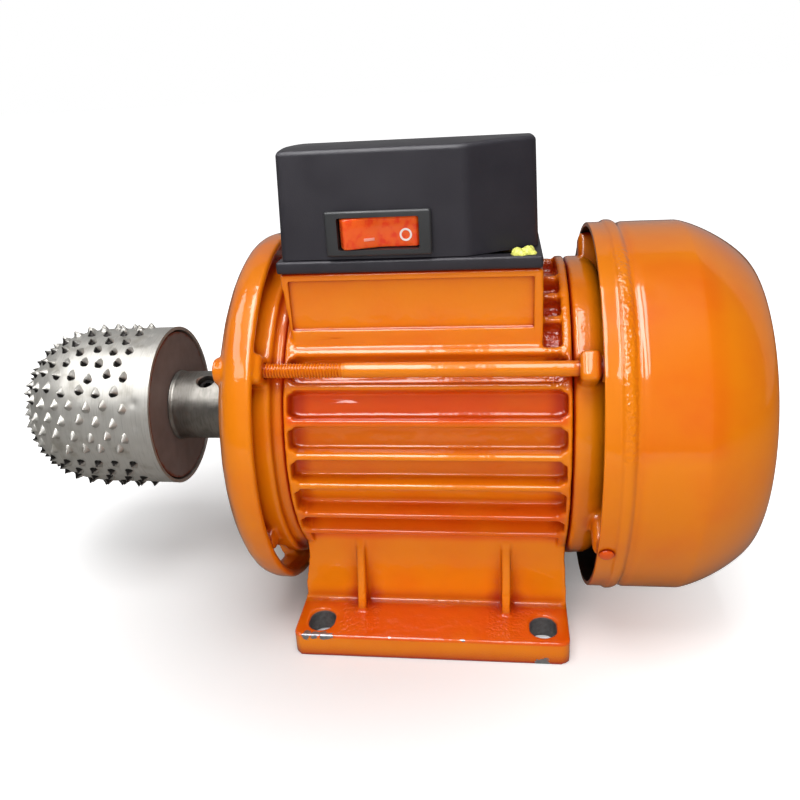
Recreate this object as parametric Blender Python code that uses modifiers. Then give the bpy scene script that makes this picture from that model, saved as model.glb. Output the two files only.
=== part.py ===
"""Electric coconut grater: a foot-mounted induction motor that drives a toothed grating head.

World frame in metres, +Z up, +X along the shaft from the grating head to the fan cover.
The origin is under the middle of the object, on the surface that the feet rest on.
Sizes are in millimetres. Positions "along" the shaft count from the middle of the feet,
and heights count from the shaft's axis. Angles round the shaft count from the near side
(-Y), upwards, so 90 is straight up and 180 is the far side.
"""

import math

import bmesh
import bpy
from mathutils import Matrix, Vector

MM = 0.001
GAP = 0.3

# Overall
SHAFT_HEIGHT = 71.5
HEAD_TIP = -166.6
COVER_BACK = 110.2
SHIFT = -(HEAD_TIP + COVER_BACK) / 2

# Motor frame
BARREL_R = 50.0
FIN_R = 56.0
BORE_R = 45.0
FRAME_FRONT, FRAME_REAR = -46.0, 48.0
END_RING = 3.0
FIN_ANGLES = (41.4, 29.5, 17.0, 5.0, -6.7, -20.7, -32.0, -64.0, -78.0)
FIN_ROOT_HALF, FIN_TIP_HALF = 1.6, 1.1
FOOT_HALF_X, FOOT_OUTER_Y, FOOT_THICK = 49.0, 63.5, 9.1
WEB_OUTER_Y, WEB_INNER_Y, WEB_TOP = 41.6, 36.1, -28.0
FOOT_CORNER_R = 3.5
WEB_OUTLINE = [(-45.9, WEB_TOP), (-45.9, -44.0), (-48.4, -57.0), (-48.4, -70.0),
               (48.8, -70.0), (48.8, -57.0), (47.9, -44.0), (47.9, WEB_TOP)]
SLOT_X, SLOT_Y, SLOT_WIDTH, SLOT_LENGTH = 40.0, 54.4, 9.5, 12.0
GUSSET_PLACES = (-26.0, 27.0)
NECK_FRONT, NECK_REAR, NECK_HALF_Y, NECK_TOP = -43.4, 37.8, 40.0, 62.9
NECK_WALL = 4.0
GLAND_Z = 53.0
TRAY_SCREW_PLACES = ((-22.0, 0.0), (18.0, 0.0))
EARTH_SCREW_PLACE = (28.0, -25.0)
POST_PLACES = TRAY_SCREW_PLACES + (EARTH_SCREW_PLACE,)

# End shields and their bolts
FLANGE_R = 67.6
BOLT_ANGLES = (34.0, 146.0, 270.0)
BOLT_CIRCLE_R = 60.0
BOLT_R = 2.5
LUG_OUTER_R, LUG_WIDTH = 65.5, 10.0
SEAT_R = 17.8
WINDOW_ANGLES = (-76.0, -42.0)
RECESS_R = 11.0

# Fan cover
COVER_FRONT, COVER_R, COVER_WALL = 56.3, 67.9, 1.4
SHOULDER_START, COVER_BACK_R, SHOULDER_POWER = 87.0, 53.9, 1.32
GRILLE_SLOTS, GRILLE_INNER_R, GRILLE_OUTER_R, GRILLE_WIDTH = 16, 18.0, 48.0, 4.4
COVER_SCREW_ANGLES = (-22.0, 118.0, 218.0)
COVER_SCREW_X = 59.1
COVER_SCREW_R, COVER_SCREW_HEAD_R = 1.5, 2.4

# Switch box
TRAY_FRONT, TRAY_REAR, TRAY_HALF_Y = -45.9, 38.6, 41.2
TRAY_BOTTOM, TRAY_TOP = 63.2, 67.2
BOX_FRONT, BOX_REAR, BOX_HALF_Y = -43.0, 37.0, 40.0
BOX_WALL, BOX_DRAFT = 2.2, 0.06
BOX_BOTTOM = TRAY_TOP + GAP
CHAMFER_START, CHAMFER_DEPTH = 15.5, 12.0
LID_CREST, LID_CREST_Y, LID_FRONT_CURVE, LID_BACK_CURVE, LID_FALL = 101.2, -29.0, 0.006, 0.0009, 0.028
LID_EDGE = ((0.06, 3.0), (1.06, 0.9), (3.46, 0.0))  # (inwards, down) steps of the lid's rolled edge
COVER_SCREW_PLACES = ((-34.5, 31.0), (28.5, 19.0))
SWITCH_X, SWITCH_Z = -12.0, 75.7
BEZEL_HALF_X, BEZEL_HALF_Z, BEZEL_PROUD = 16.6, 7.0, 2.0
ROCKER_HALF_X, ROCKER_HALF_Z, ROCKER_TILT = 11.2, 4.7, 10.0
PIVOT_Y = -36.5

# Rotor and bearings
SHAFT_R, ROTOR_SEAT_R, BEARING_SEAT_R, FAN_SEAT_R = 7.0, 8.0, 7.2, 6.0
BEARING_WIDTH, INNER_RACE_R, OUTER_RACE_INNER_R = 11.0, 9.7, 15.5
RACE_BORE_R, OUTER_RACE_R = 7.5, 17.5
BALL_R, BALL_CIRCLE_R, BALL_COUNT = 2.6, 12.6, 7
FRONT_BEARING, REAR_BEARING = -68.2, 70.7
STATOR_HALF, STATOR_R, STATOR_BORE_R, STATOR_SLOTS = 27.0, 44.7, 27.6, 18
ROTOR_R = 27.2

# Grating head
HEAD_REAR, HEAD_R, HEAD_REAR_R, HEAD_WALL = -104.4, 31.4, 31.9, 1.3
DOME_START, DOME_APEX, DOME_POWER = -130.0, -164.4, 2.4
TEETH_START, TOOTH_PITCH, TOOTH_HEIGHT = -111.5, 6.0, 2.2
HEAD_COLUMNS = 24
HUB_R, HUB_MOTOR_END = 13.7, -80.0
SET_SCREW_X, SET_SCREW_ANGLE = -90.6, 67.0

ALONG_SHAFT = (math.pi / 2, 0.0, math.pi / 2)
MATERIALS = {
    "orange_enamel": ((0.83, 0.22, 0.010), 0.22, 0.0),
    "black_plastic": ((0.030, 0.028, 0.034), 0.42, 0.0),
    "head_steel": ((0.55, 0.54, 0.51), 0.36, 1.0),
    "hub_steel": ((0.30, 0.29, 0.27), 0.42, 1.0),
    "disc_iron": ((0.24, 0.16, 0.13), 0.60, 0.7),
    "bright_steel": ((0.60, 0.60, 0.60), 0.30, 1.0),
    "lamination_steel": ((0.28, 0.29, 0.31), 0.45, 1.0),
    "cast_aluminium": ((0.62, 0.62, 0.63), 0.45, 1.0),
    "copper_winding": ((0.60, 0.20, 0.06), 0.35, 0.8),
    "fan_plastic": ((0.020, 0.020, 0.022), 0.50, 0.0),
    "rocker_red": ((0.85, 0.10, 0.01), 0.25, 0.0),
    "seal_rubber": ((0.015, 0.015, 0.015), 0.70, 0.0),
    "brass_terminal": ((0.70, 0.50, 0.20), 0.35, 1.0),
    "capacitor_can": ((0.80, 0.80, 0.78), 0.40, 0.0),
    "sealant_yellow": ((0.85, 0.83, 0.25), 0.45, 0.0),
}


# ---------------------------------------------------------------- scene and helpers

def clear_scene():
    for obj in list(bpy.data.objects):
        bpy.data.objects.remove(obj, do_unlink=True)


def new_collection(name):
    collection = bpy.data.collections.new(name)
    bpy.context.scene.collection.children.link(collection)
    return collection


def make_material(name):
    colour, roughness, metallic = MATERIALS[name]
    material = bpy.data.materials.new(name)
    material.use_nodes = True
    shader = material.node_tree.nodes["Principled BSDF"]
    shader.inputs["Base Color"].default_value = (*colour, 1.0)
    shader.inputs["Roughness"].default_value = roughness
    shader.inputs["Metallic"].default_value = metallic
    return material


def place(along, y, height):
    """World position, in metres, of a point given in the shaft's own measures."""
    return Vector(((along + SHIFT) * MM, y * MM, (height + SHAFT_HEIGHT) * MM))


def round_shaft(angle, radius):
    """(y, height) of a point at an angle and a radius round the shaft."""
    turn = math.radians(angle)
    return -radius * math.cos(turn), radius * math.sin(turn)


def add_object(name, mesh, material):
    """A piece when it has a material, and a hidden tool for a Boolean when it has none."""
    obj = bpy.data.objects.new(name, mesh)
    if material is None:
        tools.objects.link(obj)
        obj.hide_render = True
        obj.display_type = "WIRE"
    else:
        pieces.objects.link(obj)
        mesh.materials.append(materials[material])
    if mesh.polygons:
        mesh.shade_smooth()
        mesh.set_sharp_from_angle(angle=math.radians(40))
    return obj


def boolean(obj, other, operation):
    modifier = obj.modifiers.new(f"{operation.title()} {other.name}", "BOOLEAN")
    modifier.operation = operation
    modifier.solver = "EXACT"
    modifier.object = other


def join(obj, *others):
    for other in others:
        boolean(obj, other, "UNION")


def cut(obj, *others):
    for other in others:
        boolean(obj, other, "DIFFERENCE")


def carry(name, location, *carried):
    """Parent pieces to an empty that stands on their joint's axis, without moving them."""
    empty = bpy.data.objects.new(name, None)
    bpy.context.scene.collection.objects.link(empty)
    empty.location = location
    bpy.context.view_layer.update()
    for obj in carried:
        obj.parent = empty
        obj.matrix_parent_inverse = empty.matrix_world.inverted()


def signed_area(loop):
    total = 0.0
    for (a0, b0), (a1, b1) in zip(loop, loop[1:] + loop[:1]):
        total += a0 * b1 - a1 * b0
    return total / 2


def turned(name, profile, material=None, steps=32, at=(0.0, 0.0, 0.0), turn=ALONG_SHAFT):
    """Spin a profile of (along, radius) points. Ends on the axis close it, or it closes itself."""
    on_axis = profile[0][1] == 0 and profile[-1][1] == 0
    loop = list(profile) if signed_area(profile) > 0 else list(reversed(profile))
    mesh = bpy.data.meshes.new(name)
    points = [(radius * MM, 0.0, along * MM) for along, radius in loop]
    edges = [(i, i + 1) for i in range(len(loop) - 1)]
    if not on_axis:
        edges.append((len(loop) - 1, 0))
    mesh.from_pydata(points, edges, [])
    obj = add_object(name, mesh, material)
    obj.location = place(*at)
    obj.rotation_euler = turn
    spin = obj.modifiers.new("Spin", "SCREW")
    spin.steps = spin.render_steps = steps
    spin.use_merge_vertices = True
    spin.merge_threshold = 1e-5
    spin.use_smooth_shade = True
    return obj


def mesh_from_outlines(name, outlines, half_thickness):
    """A flat 2D curve, filled on both sides and extruded, turned into a mesh."""
    curve = bpy.data.curves.new(name, "CURVE")
    curve.dimensions = "2D"
    curve.fill_mode = "BOTH"
    curve.extrude = half_thickness * MM
    for outline in outlines:
        spline = curve.splines.new("POLY")
        spline.points.add(len(outline) - 1)
        for point, (a, b) in zip(spline.points, outline):
            point.co = (a * MM, b * MM, 0.0, 1.0)
        spline.use_cyclic_u = True
    holder = bpy.data.objects.new(name, curve)
    bpy.context.scene.collection.objects.link(holder)
    bpy.context.view_layer.update()
    evaluated = holder.evaluated_get(bpy.context.evaluated_depsgraph_get())
    mesh = bpy.data.meshes.new_from_object(evaluated)
    bpy.data.objects.remove(holder, do_unlink=True)
    bpy.data.curves.remove(curve)
    shape = bmesh.new()
    shape.from_mesh(mesh)
    bmesh.ops.remove_doubles(shape, verts=shape.verts, dist=1e-6)
    bmesh.ops.recalc_face_normals(shape, faces=shape.faces)
    shape.to_mesh(mesh)
    shape.free()
    mesh.materials.clear()
    return mesh


def prism(name, outlines, start, end, material=None):
    """Extrude (y, height) outlines along the shaft, from start to end."""
    mesh = mesh_from_outlines(name, outlines, (end - start) / 2)
    obj = add_object(name, mesh, material)
    obj.location = place((start + end) / 2, 0.0, 0.0)
    obj.rotation_euler = ALONG_SHAFT
    return obj


def upright_prism(name, outlines, bottom, top, material=None, at=(0.0, 0.0)):
    """Extrude (along, y) outlines upwards, from bottom to top."""
    mesh = mesh_from_outlines(name, outlines, (top - bottom) / 2)
    obj = add_object(name, mesh, material)
    obj.location = place(at[0], at[1], (bottom + top) / 2)
    return obj


def side_prism(name, outlines, near, far, material=None):
    """Extrude (along, height) outlines across the shaft, between two y positions."""
    mesh = mesh_from_outlines(name, outlines, abs(far - near) / 2)
    obj = add_object(name, mesh, material)
    obj.location = place(0.0, (near + far) / 2, 0.0)
    obj.rotation_euler = (math.pi / 2, 0.0, 0.0)
    return obj


def block(name, low, high, material=None, bevel=0.0, segments=2):
    """A box between two corners, with an optional Bevel."""
    mesh = bpy.data.meshes.new(name)
    shape = bmesh.new()
    bmesh.ops.create_cube(shape, size=1.0)
    size = [(b - a) * MM for a, b in zip(low, high)]
    bmesh.ops.scale(shape, vec=size, verts=shape.verts)
    shape.to_mesh(mesh)
    shape.free()
    obj = add_object(name, mesh, material)
    obj.location = place(*[(a + b) / 2 for a, b in zip(low, high)])
    if bevel:
        modifier = obj.modifiers.new("Rounded edges", "BEVEL")
        modifier.width = bevel * MM
        modifier.segments = segments
    return obj


def cylinder(name, start, end, radius, material=None, sides=24, end_radius=None):
    """A round bar, or a cone, between two points."""
    first, last = place(*start), place(*end)
    mesh = bpy.data.meshes.new(name)
    shape = bmesh.new()
    bmesh.ops.create_cone(
        shape, cap_ends=True, segments=sides, radius1=radius * MM,
        radius2=(radius if end_radius is None else end_radius) * MM, depth=(last - first).length)
    shape.to_mesh(mesh)
    shape.free()
    obj = add_object(name, mesh, material)
    obj.location = (first + last) / 2
    obj.rotation_euler = (last - first).to_track_quat("Z", "Y").to_euler()
    return obj


def radial_block(name, angle, inner, outer, width, start, end, material=None):
    """A box that stands out from the shaft at an angle, between two radii."""
    obj = block(name, (start, -width / 2, inner), (end, width / 2, outer), material)
    middle = (inner + outer) / 2
    y, height = round_shaft(angle, middle)
    obj.location = place((start + end) / 2, y, height)
    obj.rotation_euler = (math.radians(90 - angle), 0.0, 0.0)
    return obj


def circle(radius, sides, centre=(0.0, 0.0), start=0.0, sweep=360.0, closed=True):
    """Points of a round outline or, when it isn't closed, of an arc with both its ends."""
    count = sides if closed else sides + 1
    points = []
    for i in range(count):
        turn = math.radians(start + sweep * i / sides)
        points.append((centre[0] + radius * math.cos(turn), centre[1] + radius * math.sin(turn)))
    return points


def rounded_rectangle(half_a, half_b, radius, sides=4, centre=(0.0, 0.0)):
    points = []
    for sign_a, sign_b, start in ((1, 1, 0), (-1, 1, 90), (-1, -1, 180), (1, -1, 270)):
        corner = (centre[0] + sign_a * (half_a - radius), centre[1] + sign_b * (half_b - radius))
        points += circle(radius, sides, corner, start, 90, closed=False)
    return points


# ---------------------------------------------------------------- motor frame

def finned_outline():
    """The barrel's cross-section: straight-sided fins on a round wall."""
    turns = sorted([math.radians(180 - a) % math.tau for a in FIN_ANGLES]
                   + [math.radians(a) % math.tau for a in FIN_ANGLES])
    root = math.sqrt(BARREL_R ** 2 - FIN_ROOT_HALF ** 2)
    half_root_turn = math.asin(FIN_ROOT_HALF / BARREL_R)
    outline = []
    for turn, following in zip(turns, turns[1:] + [turns[0] + math.tau]):
        out = Vector((math.cos(turn), math.sin(turn)))
        side = Vector((-out.y, out.x))
        for radius, half in ((root, -FIN_ROOT_HALF), (FIN_R, -FIN_TIP_HALF),
                             (FIN_R, FIN_TIP_HALF), (root, FIN_ROOT_HALF)):
            outline.append(tuple(out * radius + side * half))
        first, last = turn + half_root_turn, following - half_root_turn
        count = max(1, round((last - first) / math.radians(7)))
        for i in range(1, count):
            angle = first + (last - first) * i / count
            outline.append((BARREL_R * math.cos(angle), BARREL_R * math.sin(angle)))
    return outline


def make_foot(side):
    """Web, plate and gussets of one foot, as tools to join to the barrel."""
    name = "far" if side > 0 else "near"
    bottom, plate_top = -SHAFT_HEIGHT, -SHAFT_HEIGHT + FOOT_THICK
    web = side_prism(f"web_{name}", [WEB_OUTLINE], side * WEB_OUTER_Y, side * WEB_INNER_Y)
    half_y = (FOOT_OUTER_Y - WEB_INNER_Y) / 2
    plate = upright_prism(
        f"plate_{name}", [rounded_rectangle(FOOT_HALF_X, half_y, FOOT_CORNER_R)], bottom, plate_top,
        at=(0.0, side * (WEB_INNER_Y + half_y)))
    tools_made = [plate, web]
    for along in GUSSET_PLACES:
        outline = [(side * (WEB_OUTER_Y - 2), -36.0), (side * (WEB_OUTER_Y + 0.4), -36.0),
                   (side * 50.0, plate_top - 1), (side * (WEB_OUTER_Y - 2), plate_top - 1)]
        tools_made.append(prism(f"gusset_{name}_{along:.0f}", [outline], along - 1.5, along + 1.5))
    return tools_made


def make_neck():
    """The raised box that carries the switch box; its sides lean in a little upwards."""
    outline = [(NECK_FRONT + 1.4, 28.0), (NECK_REAR + 0.6, 28.0), (NECK_REAR, NECK_TOP),
               (NECK_FRONT, NECK_TOP)]
    return side_prism("neck", [outline], -NECK_HALF_Y, NECK_HALF_Y)


def frame_cutters():
    bore = cylinder("bore", (FRAME_FRONT - 5, 0, 0), (FRAME_REAR + 5, 0, 0), BORE_R, sides=56)
    cavity = block("neck_cavity", (NECK_FRONT + NECK_WALL, -NECK_HALF_Y + NECK_WALL, BARREL_R + 1.5),
                   (NECK_REAR - NECK_WALL, NECK_HALF_Y - NECK_WALL, NECK_TOP + 5))
    panel = block("neck_panel", (NECK_FRONT + 4.5, -NECK_HALF_Y - 1, 44.0),
                  (NECK_REAR - 4.0, -NECK_HALF_Y + 0.9, 59.5))
    wires = cylinder("wire_hole", (-33, 0, 40), (-33, 0, 56), 6.0, sides=16)
    gland = cylinder("gland_hole", (0, NECK_HALF_Y - 8, GLAND_Z), (0, NECK_HALF_Y + 5, GLAND_Z), 6.3,
                     sides=20)
    nut_room = block("nut_room", (-12, 28, 44), (12, NECK_HALF_Y - NECK_WALL, NECK_TOP + 3))
    cutters = [bore, cavity, panel, wires, nut_room, gland]
    for x, y in POST_PLACES:
        floor = math.sqrt(BARREL_R ** 2 - y ** 2) - 2
        cutters.append(cylinder(f"post_hole_{x:.0f}", (x, y, floor), (x, y, NECK_TOP + 3), 1.9,
                                sides=12))
    for x in (-SLOT_X, SLOT_X):
        for y in (-SLOT_Y, SLOT_Y):
            outline = rounded_rectangle(SLOT_WIDTH / 2, SLOT_LENGTH / 2, SLOT_WIDTH / 2 - 0.01, sides=6)
            cutters.append(upright_prism(f"slot_{x:.0f}_{y:.0f}", [outline], -SHAFT_HEIGHT - 2,
                                         -SHAFT_HEIGHT + FOOT_THICK + 2, at=(x, y)))
    return cutters


def make_motor_frame():
    frame = prism("motor_frame", [finned_outline()], FRAME_FRONT + 1, FRAME_REAR - 1, "orange_enamel")
    front = cylinder("front_ring", (FRAME_FRONT, 0, 0), (FRAME_FRONT + END_RING, 0, 0), FIN_R + 0.1, sides=56)
    rear = cylinder("rear_ring", (FRAME_REAR - END_RING, 0, 0), (FRAME_REAR, 0, 0), FIN_R + 0.1, sides=56)
    screw_posts = [cylinder(f"post_{x:.0f}", (x, y, math.sqrt(BARREL_R ** 2 - y ** 2) - 3),
                            (x, y, NECK_TOP), 4.0, sides=14) for x, y in POST_PLACES]
    join(frame, front, rear, make_neck(), *make_foot(-1), *make_foot(1))
    cutters = frame_cutters()
    cut(frame, *cutters[:5])
    join(frame, *screw_posts)
    cut(frame, *cutters[5:])
    return frame


# ---------------------------------------------------------------- shields, bolts, fan cover

def bolt_holes(name, start, end):
    return [cylinder(f"{name}_{angle:.0f}", (start, *round_shaft(angle, BOLT_CIRCLE_R)),
                     (end, *round_shaft(angle, BOLT_CIRCLE_R)), BOLT_R + GAP, sides=12)
            for angle in BOLT_ANGLES]


def make_front_shield():
    profile = [
        (-53.2, FLANGE_R), (-58.2, FLANGE_R - 0.2), (-61.8, 65.2), (-65.2, 60.0), (-68.4, 48.0),
        (-76.8, 20.0), (-77.6, 14.4), (-79.2, 14.2), (-79.2, RECESS_R), (-75.0, RECESS_R),
        (-75.0, 8.6), (-74.0, 8.6), (-74.0, SEAT_R), (-62.2, SEAT_R), (-62.2, 21.5), (-71.4, 21.5),
        (-64.0, 50.8), (FRAME_FRONT - GAP, 50.8), (FRAME_FRONT - GAP, 54.8), (-61.6, 54.8),
        (-60.6, 61.0), (-57.4, 64.2), (-53.2, 64.4)]
    shield = turned("front_end_shield", profile, "orange_enamel", steps=40)
    lugs = [radial_block(f"front_lug_{a:.0f}", a, 53.5, LUG_OUTER_R, LUG_WIDTH, -62.5, -51.0)
            for a in BOLT_ANGLES]
    bosses = [cylinder(f"front_boss_{a:.0f}", (-63.0, *round_shaft(a, 59.0)),
                       (-54.5, *round_shaft(a, 59.0)), 4.2, sides=12) for a in (-30.0, 210.0)]
    join(shield, *lugs, *bosses)
    low, high = WINDOW_ANGLES
    for first, last in ((180 - high, 180 - low), (high, low)):
        outer = circle(63.6, 6, start=first, sweep=last - first, closed=False)
        inner = circle(55.4, 6, start=last, sweep=first - last, closed=False)
        cut(shield, prism(f"window_{first:.0f}", [outer + inner], -70.0, -55.0))
    cut(shield, *bolt_holes("front_tap", -58.6, -45.0))
    return shield


def make_rear_shield():
    profile = [
        (FRAME_REAR + GAP, FIN_R), (55.0, FIN_R), (58.0, 54.5), (66.0, 41.0), (74.0, 24.5),
        (79.0, 22.5), (79.0, 8.8), (77.3, 8.8), (77.3, SEAT_R), (65.0, SEAT_R), (65.0, 21.3),
        (69.2, 23.5), (62.0, 38.0), (54.5, 50.2), (FRAME_REAR + GAP, 50.8)]
    shield = turned("rear_end_shield", profile, "orange_enamel", steps=36)
    lugs = [radial_block(f"rear_lug_{a:.0f}", a, 53.0, LUG_OUTER_R, LUG_WIDTH, 49.5, 56.0)
            for a in BOLT_ANGLES]
    ears = [radial_block(f"cover_ear_{a:.0f}", a, 46.5, COVER_R - COVER_WALL - GAP, 9.0,
                         COVER_SCREW_X - 4, COVER_SCREW_X + 4) for a in COVER_SCREW_ANGLES]
    join(shield, *lugs, *ears)
    cut(shield, *bolt_holes("rear_clearance", 45.0, 60.0))
    for angle in COVER_SCREW_ANGLES:
        cut(shield, cylinder(f"ear_tap_{angle:.0f}", (COVER_SCREW_X, *round_shaft(angle, 54.0)),
                             (COVER_SCREW_X, *round_shaft(angle, 75.0)), COVER_SCREW_R + GAP, sides=12))
    return shield


def make_tie_bolts():
    """Each bolt enters at the rear lug, where its hex head bears, and screws into the front one."""
    for number, angle in enumerate(BOLT_ANGLES, 1):
        y, height = round_shaft(angle, BOLT_CIRCLE_R)
        bolt = cylinder(f"tie_bolt_{number}", (-58.0, y, height), (57.5, y, height), BOLT_R,
                        "orange_enamel", sides=16)
        join(bolt, cylinder(f"bolt_head_{number}", (56.3, y, height), (59.9, y, height), 4.5, sides=6))


def shoulder(radius_inset, start, back, steps):
    """The cowl's rounded shoulder, a flattened quarter oval between its side and its back."""
    points = []
    for i in range(steps + 1):
        turn = math.pi / 2 * i / steps
        power = 2 / SHOULDER_POWER
        along = start + (back - start) * math.sin(turn) ** power
        inner_r = COVER_BACK_R - radius_inset
        points.append((along, inner_r + (COVER_R - COVER_BACK_R) * math.cos(turn) ** power))
    return points


def make_fan_cover():
    outside = [(COVER_FRONT, COVER_R), (61.2, COVER_R), (62.4, COVER_R + 0.8), (64.6, COVER_R + 0.8),
               (66.4, COVER_R - 0.4), (67.4, COVER_R)]
    outside += shoulder(0.0, SHOULDER_START, COVER_BACK, 4) + [(COVER_BACK, 0.0)]
    inside = shoulder(COVER_WALL, SHOULDER_START - 0.5, COVER_BACK - COVER_WALL, 3)
    inside = [(COVER_FRONT, COVER_R - COVER_WALL)] + inside + [(COVER_BACK - COVER_WALL, 0.0)]
    profile = list(reversed(outside)) + inside
    cover = turned("fan_cover", profile, "orange_enamel", steps=48)
    grille = bmesh.new()
    length = (GRILLE_OUTER_R - GRILLE_INNER_R) * MM
    for i in range(GRILLE_SLOTS):
        spoke = Matrix.Rotation(math.tau * i / GRILLE_SLOTS, 4, "X")
        middle = Matrix.Translation((0.0, 0.0, (GRILLE_OUTER_R + GRILLE_INNER_R) / 2 * MM))
        size = Matrix.Diagonal((10 * MM, GRILLE_WIDTH * MM, length, 1.0))
        bmesh.ops.create_cube(grille, size=1.0, matrix=spoke @ middle @ size)
    mesh = bpy.data.meshes.new("grille_slots")
    grille.to_mesh(mesh)
    grille.free()
    slots = add_object("grille_slots", mesh, None)
    slots.location = place(COVER_BACK - 1, 0, 0)
    cut(cover, slots)
    for number, angle in enumerate(COVER_SCREW_ANGLES, 1):
        cut(cover, cylinder(f"cover_hole_{number}", (COVER_SCREW_X, *round_shaft(angle, 60.0)),
                            (COVER_SCREW_X, *round_shaft(angle, 75.0)), COVER_SCREW_R + GAP, sides=12))
        make_cover_screw(number, angle)
    return cover


def make_cover_screw(number, angle):
    screw = cylinder(f"fan_cover_screw_{number}", (COVER_SCREW_X, *round_shaft(angle, 56.0)),
                     (COVER_SCREW_X, *round_shaft(angle, 68.6)), COVER_SCREW_R, "orange_enamel", sides=12)
    join(screw, cylinder(f"cover_screw_head_{number}",
                         (COVER_SCREW_X, *round_shaft(angle, COVER_R + GAP)),
                         (COVER_SCREW_X, *round_shaft(angle, COVER_R + GAP + 0.9)),
                         COVER_SCREW_HEAD_R, sides=14, end_radius=1.6))


# ---------------------------------------------------------------- stator, rotor, bearings

def stator_bore_outline():
    """A round bore with a keyhole-shaped slot between every two teeth."""
    outline = []
    for i in range(STATOR_SLOTS):
        turn = math.tau * i / STATOR_SLOTS
        out = Vector((math.cos(turn), math.sin(turn)))
        side = Vector((-out.y, out.x))
        for radius, half in ((STATOR_BORE_R, -1.2), (29.6, -1.2), (31.2, -2.8), (38.0, -3.4),
                             (38.0, 3.4), (31.2, 2.8), (29.6, 1.2), (STATOR_BORE_R, 1.2)):
            outline.append(tuple(out * radius + side * half))
    return outline


def make_stator():
    prism("stator_core", [circle(STATOR_R, 40), stator_bore_outline()], -STATOR_HALF, STATOR_HALF,
          "lamination_steel")
    for name, side in (("front_winding", -1), ("rear_winding", 1)):
        near, far = STATOR_HALF + GAP, STATOR_HALF + 13.0
        profile = [(near, 30.5), (near, 39.5), (near + 5, 41.0), (far - 3, 40.0), (far, 36.5),
                   (far, 33.0), (far - 3, 30.0)]
        turned(name, [(side * along, radius) for along, radius in profile], "copper_winding", steps=20)


def make_rotor():
    shaft = [(-101.5, 0.0), (-101.5, SHAFT_R - 0.8), (-100.5, SHAFT_R), (-77.0, SHAFT_R),
             (-76.0, BEARING_SEAT_R), (-62.4, BEARING_SEAT_R), (-62.4, 9.2), (-32.4, 9.2),
             (-32.4, ROTOR_SEAT_R),
             (64.9, ROTOR_SEAT_R), (64.9, BEARING_SEAT_R), (80.0, BEARING_SEAT_R),
             (80.0, FAN_SEAT_R), (104.0, FAN_SEAT_R), (105.0, FAN_SEAT_R - 0.9), (105.0, 0.0)]
    rotor_shaft = turned("rotor_shaft", shaft, "bright_steel", steps=16)
    groove = [(101.2, FAN_SEAT_R - 0.8), (102.6, FAN_SEAT_R - 0.8), (102.6, 8.0), (101.2, 8.0)]
    cut(rotor_shaft, turned("circlip_groove", groove, steps=16))
    end, bore = STATOR_HALF + 4.5, ROTOR_SEAT_R + GAP
    turned("rotor_core", [(-end, bore), (-end, 24.6), (-STATOR_HALF, 25.2), (-STATOR_HALF, ROTOR_R),
                          (STATOR_HALF, ROTOR_R), (STATOR_HALF, 25.2), (end, 24.6), (end, bore)],
           "cast_aluminium", steps=28)


def make_bearing(name, middle):
    start, end = middle - BEARING_WIDTH / 2, middle + BEARING_WIDTH / 2
    chamfer = 0.8
    turned(f"{name}_bearing_inner_race",
           [(start, RACE_BORE_R), (start, INNER_RACE_R), (end, INNER_RACE_R), (end, RACE_BORE_R)],
           "bright_steel", steps=20)
    turned(f"{name}_bearing_outer_race",
           [(start, OUTER_RACE_INNER_R), (start, OUTER_RACE_R - chamfer), (start + chamfer, OUTER_RACE_R),
            (end - chamfer, OUTER_RACE_R), (end, OUTER_RACE_R - chamfer), (end, OUTER_RACE_INNER_R)],
           "bright_steel", steps=20)
    cage = turned(f"{name}_ball_cage",
                  [(middle - 1.4, 11.9), (middle - 1.4, 13.3), (middle + 1.4, 13.3), (middle + 1.4, 11.9)],
                  "bright_steel", steps=21)
    balls = bmesh.new()
    for i in range(BALL_COUNT):
        y, height = round_shaft(360 * i / BALL_COUNT + 3, BALL_CIRCLE_R)
        bmesh.ops.create_uvsphere(balls, u_segments=6, v_segments=4, radius=BALL_R * MM,
                                  matrix=Matrix.Translation((0.0, y * MM, height * MM)))
    mesh = bpy.data.meshes.new(f"{name}_balls")
    balls.to_mesh(mesh)
    balls.free()
    ball_set = add_object(f"{name}_balls", mesh, None)
    ball_set.location = place(middle, 0, 0)
    join(cage, ball_set)


def make_small_rings():
    turned("wave_washer", [(76.5, 15.0), (76.5, 17.3), (77.0, 17.3), (77.0, 15.0)],
           "bright_steel", steps=20)
    turned("shaft_seal", [(-78.8, 7.5), (-78.8, RECESS_R - GAP), (-75.3, RECESS_R - GAP),
                          (-75.3, 8.6), (-77.8, 8.2)], "seal_rubber", steps=20)
    clip = turned("fan_circlip", [(101.5, 5.5), (101.5, 8.4), (102.3, 8.4), (102.3, 5.5)],
                  "bright_steel", steps=16)
    cut(clip, block("clip_opening", (100, -2.5, 2.0), (104, 2.5, 12.0)))


def make_cooling_fan():
    """A hub, a dished back plate and straight radial blades."""
    bore = FAN_SEAT_R + GAP
    profile = [(84.0, bore), (84.0, 11.0), (90.5, 12.0), (91.5, 46.0), (93.5, 46.0), (93.5, 12.0),
               (101.0, 11.0), (101.0, bore)]
    fan = turned("cooling_fan", profile, "fan_plastic", steps=32)
    blades = bmesh.new()
    for i in range(8):
        spoke = Matrix.Rotation(math.tau * i / 8, 4, "X")
        middle = Matrix.Translation((1.0 * MM, 0.0, 31.0 * MM))
        size = Matrix.Diagonal((15 * MM, 1.8 * MM, 40 * MM, 1.0))
        bmesh.ops.create_cube(blades, size=1.0, matrix=spoke @ middle @ size)
    mesh = bpy.data.meshes.new("fan_blades")
    blades.to_mesh(mesh)
    blades.free()
    blade_set = add_object("fan_blades", mesh, None)
    blade_set.location = place(93.0, 0, 0)
    join(fan, blade_set)


# ---------------------------------------------------------------- grating head

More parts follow.
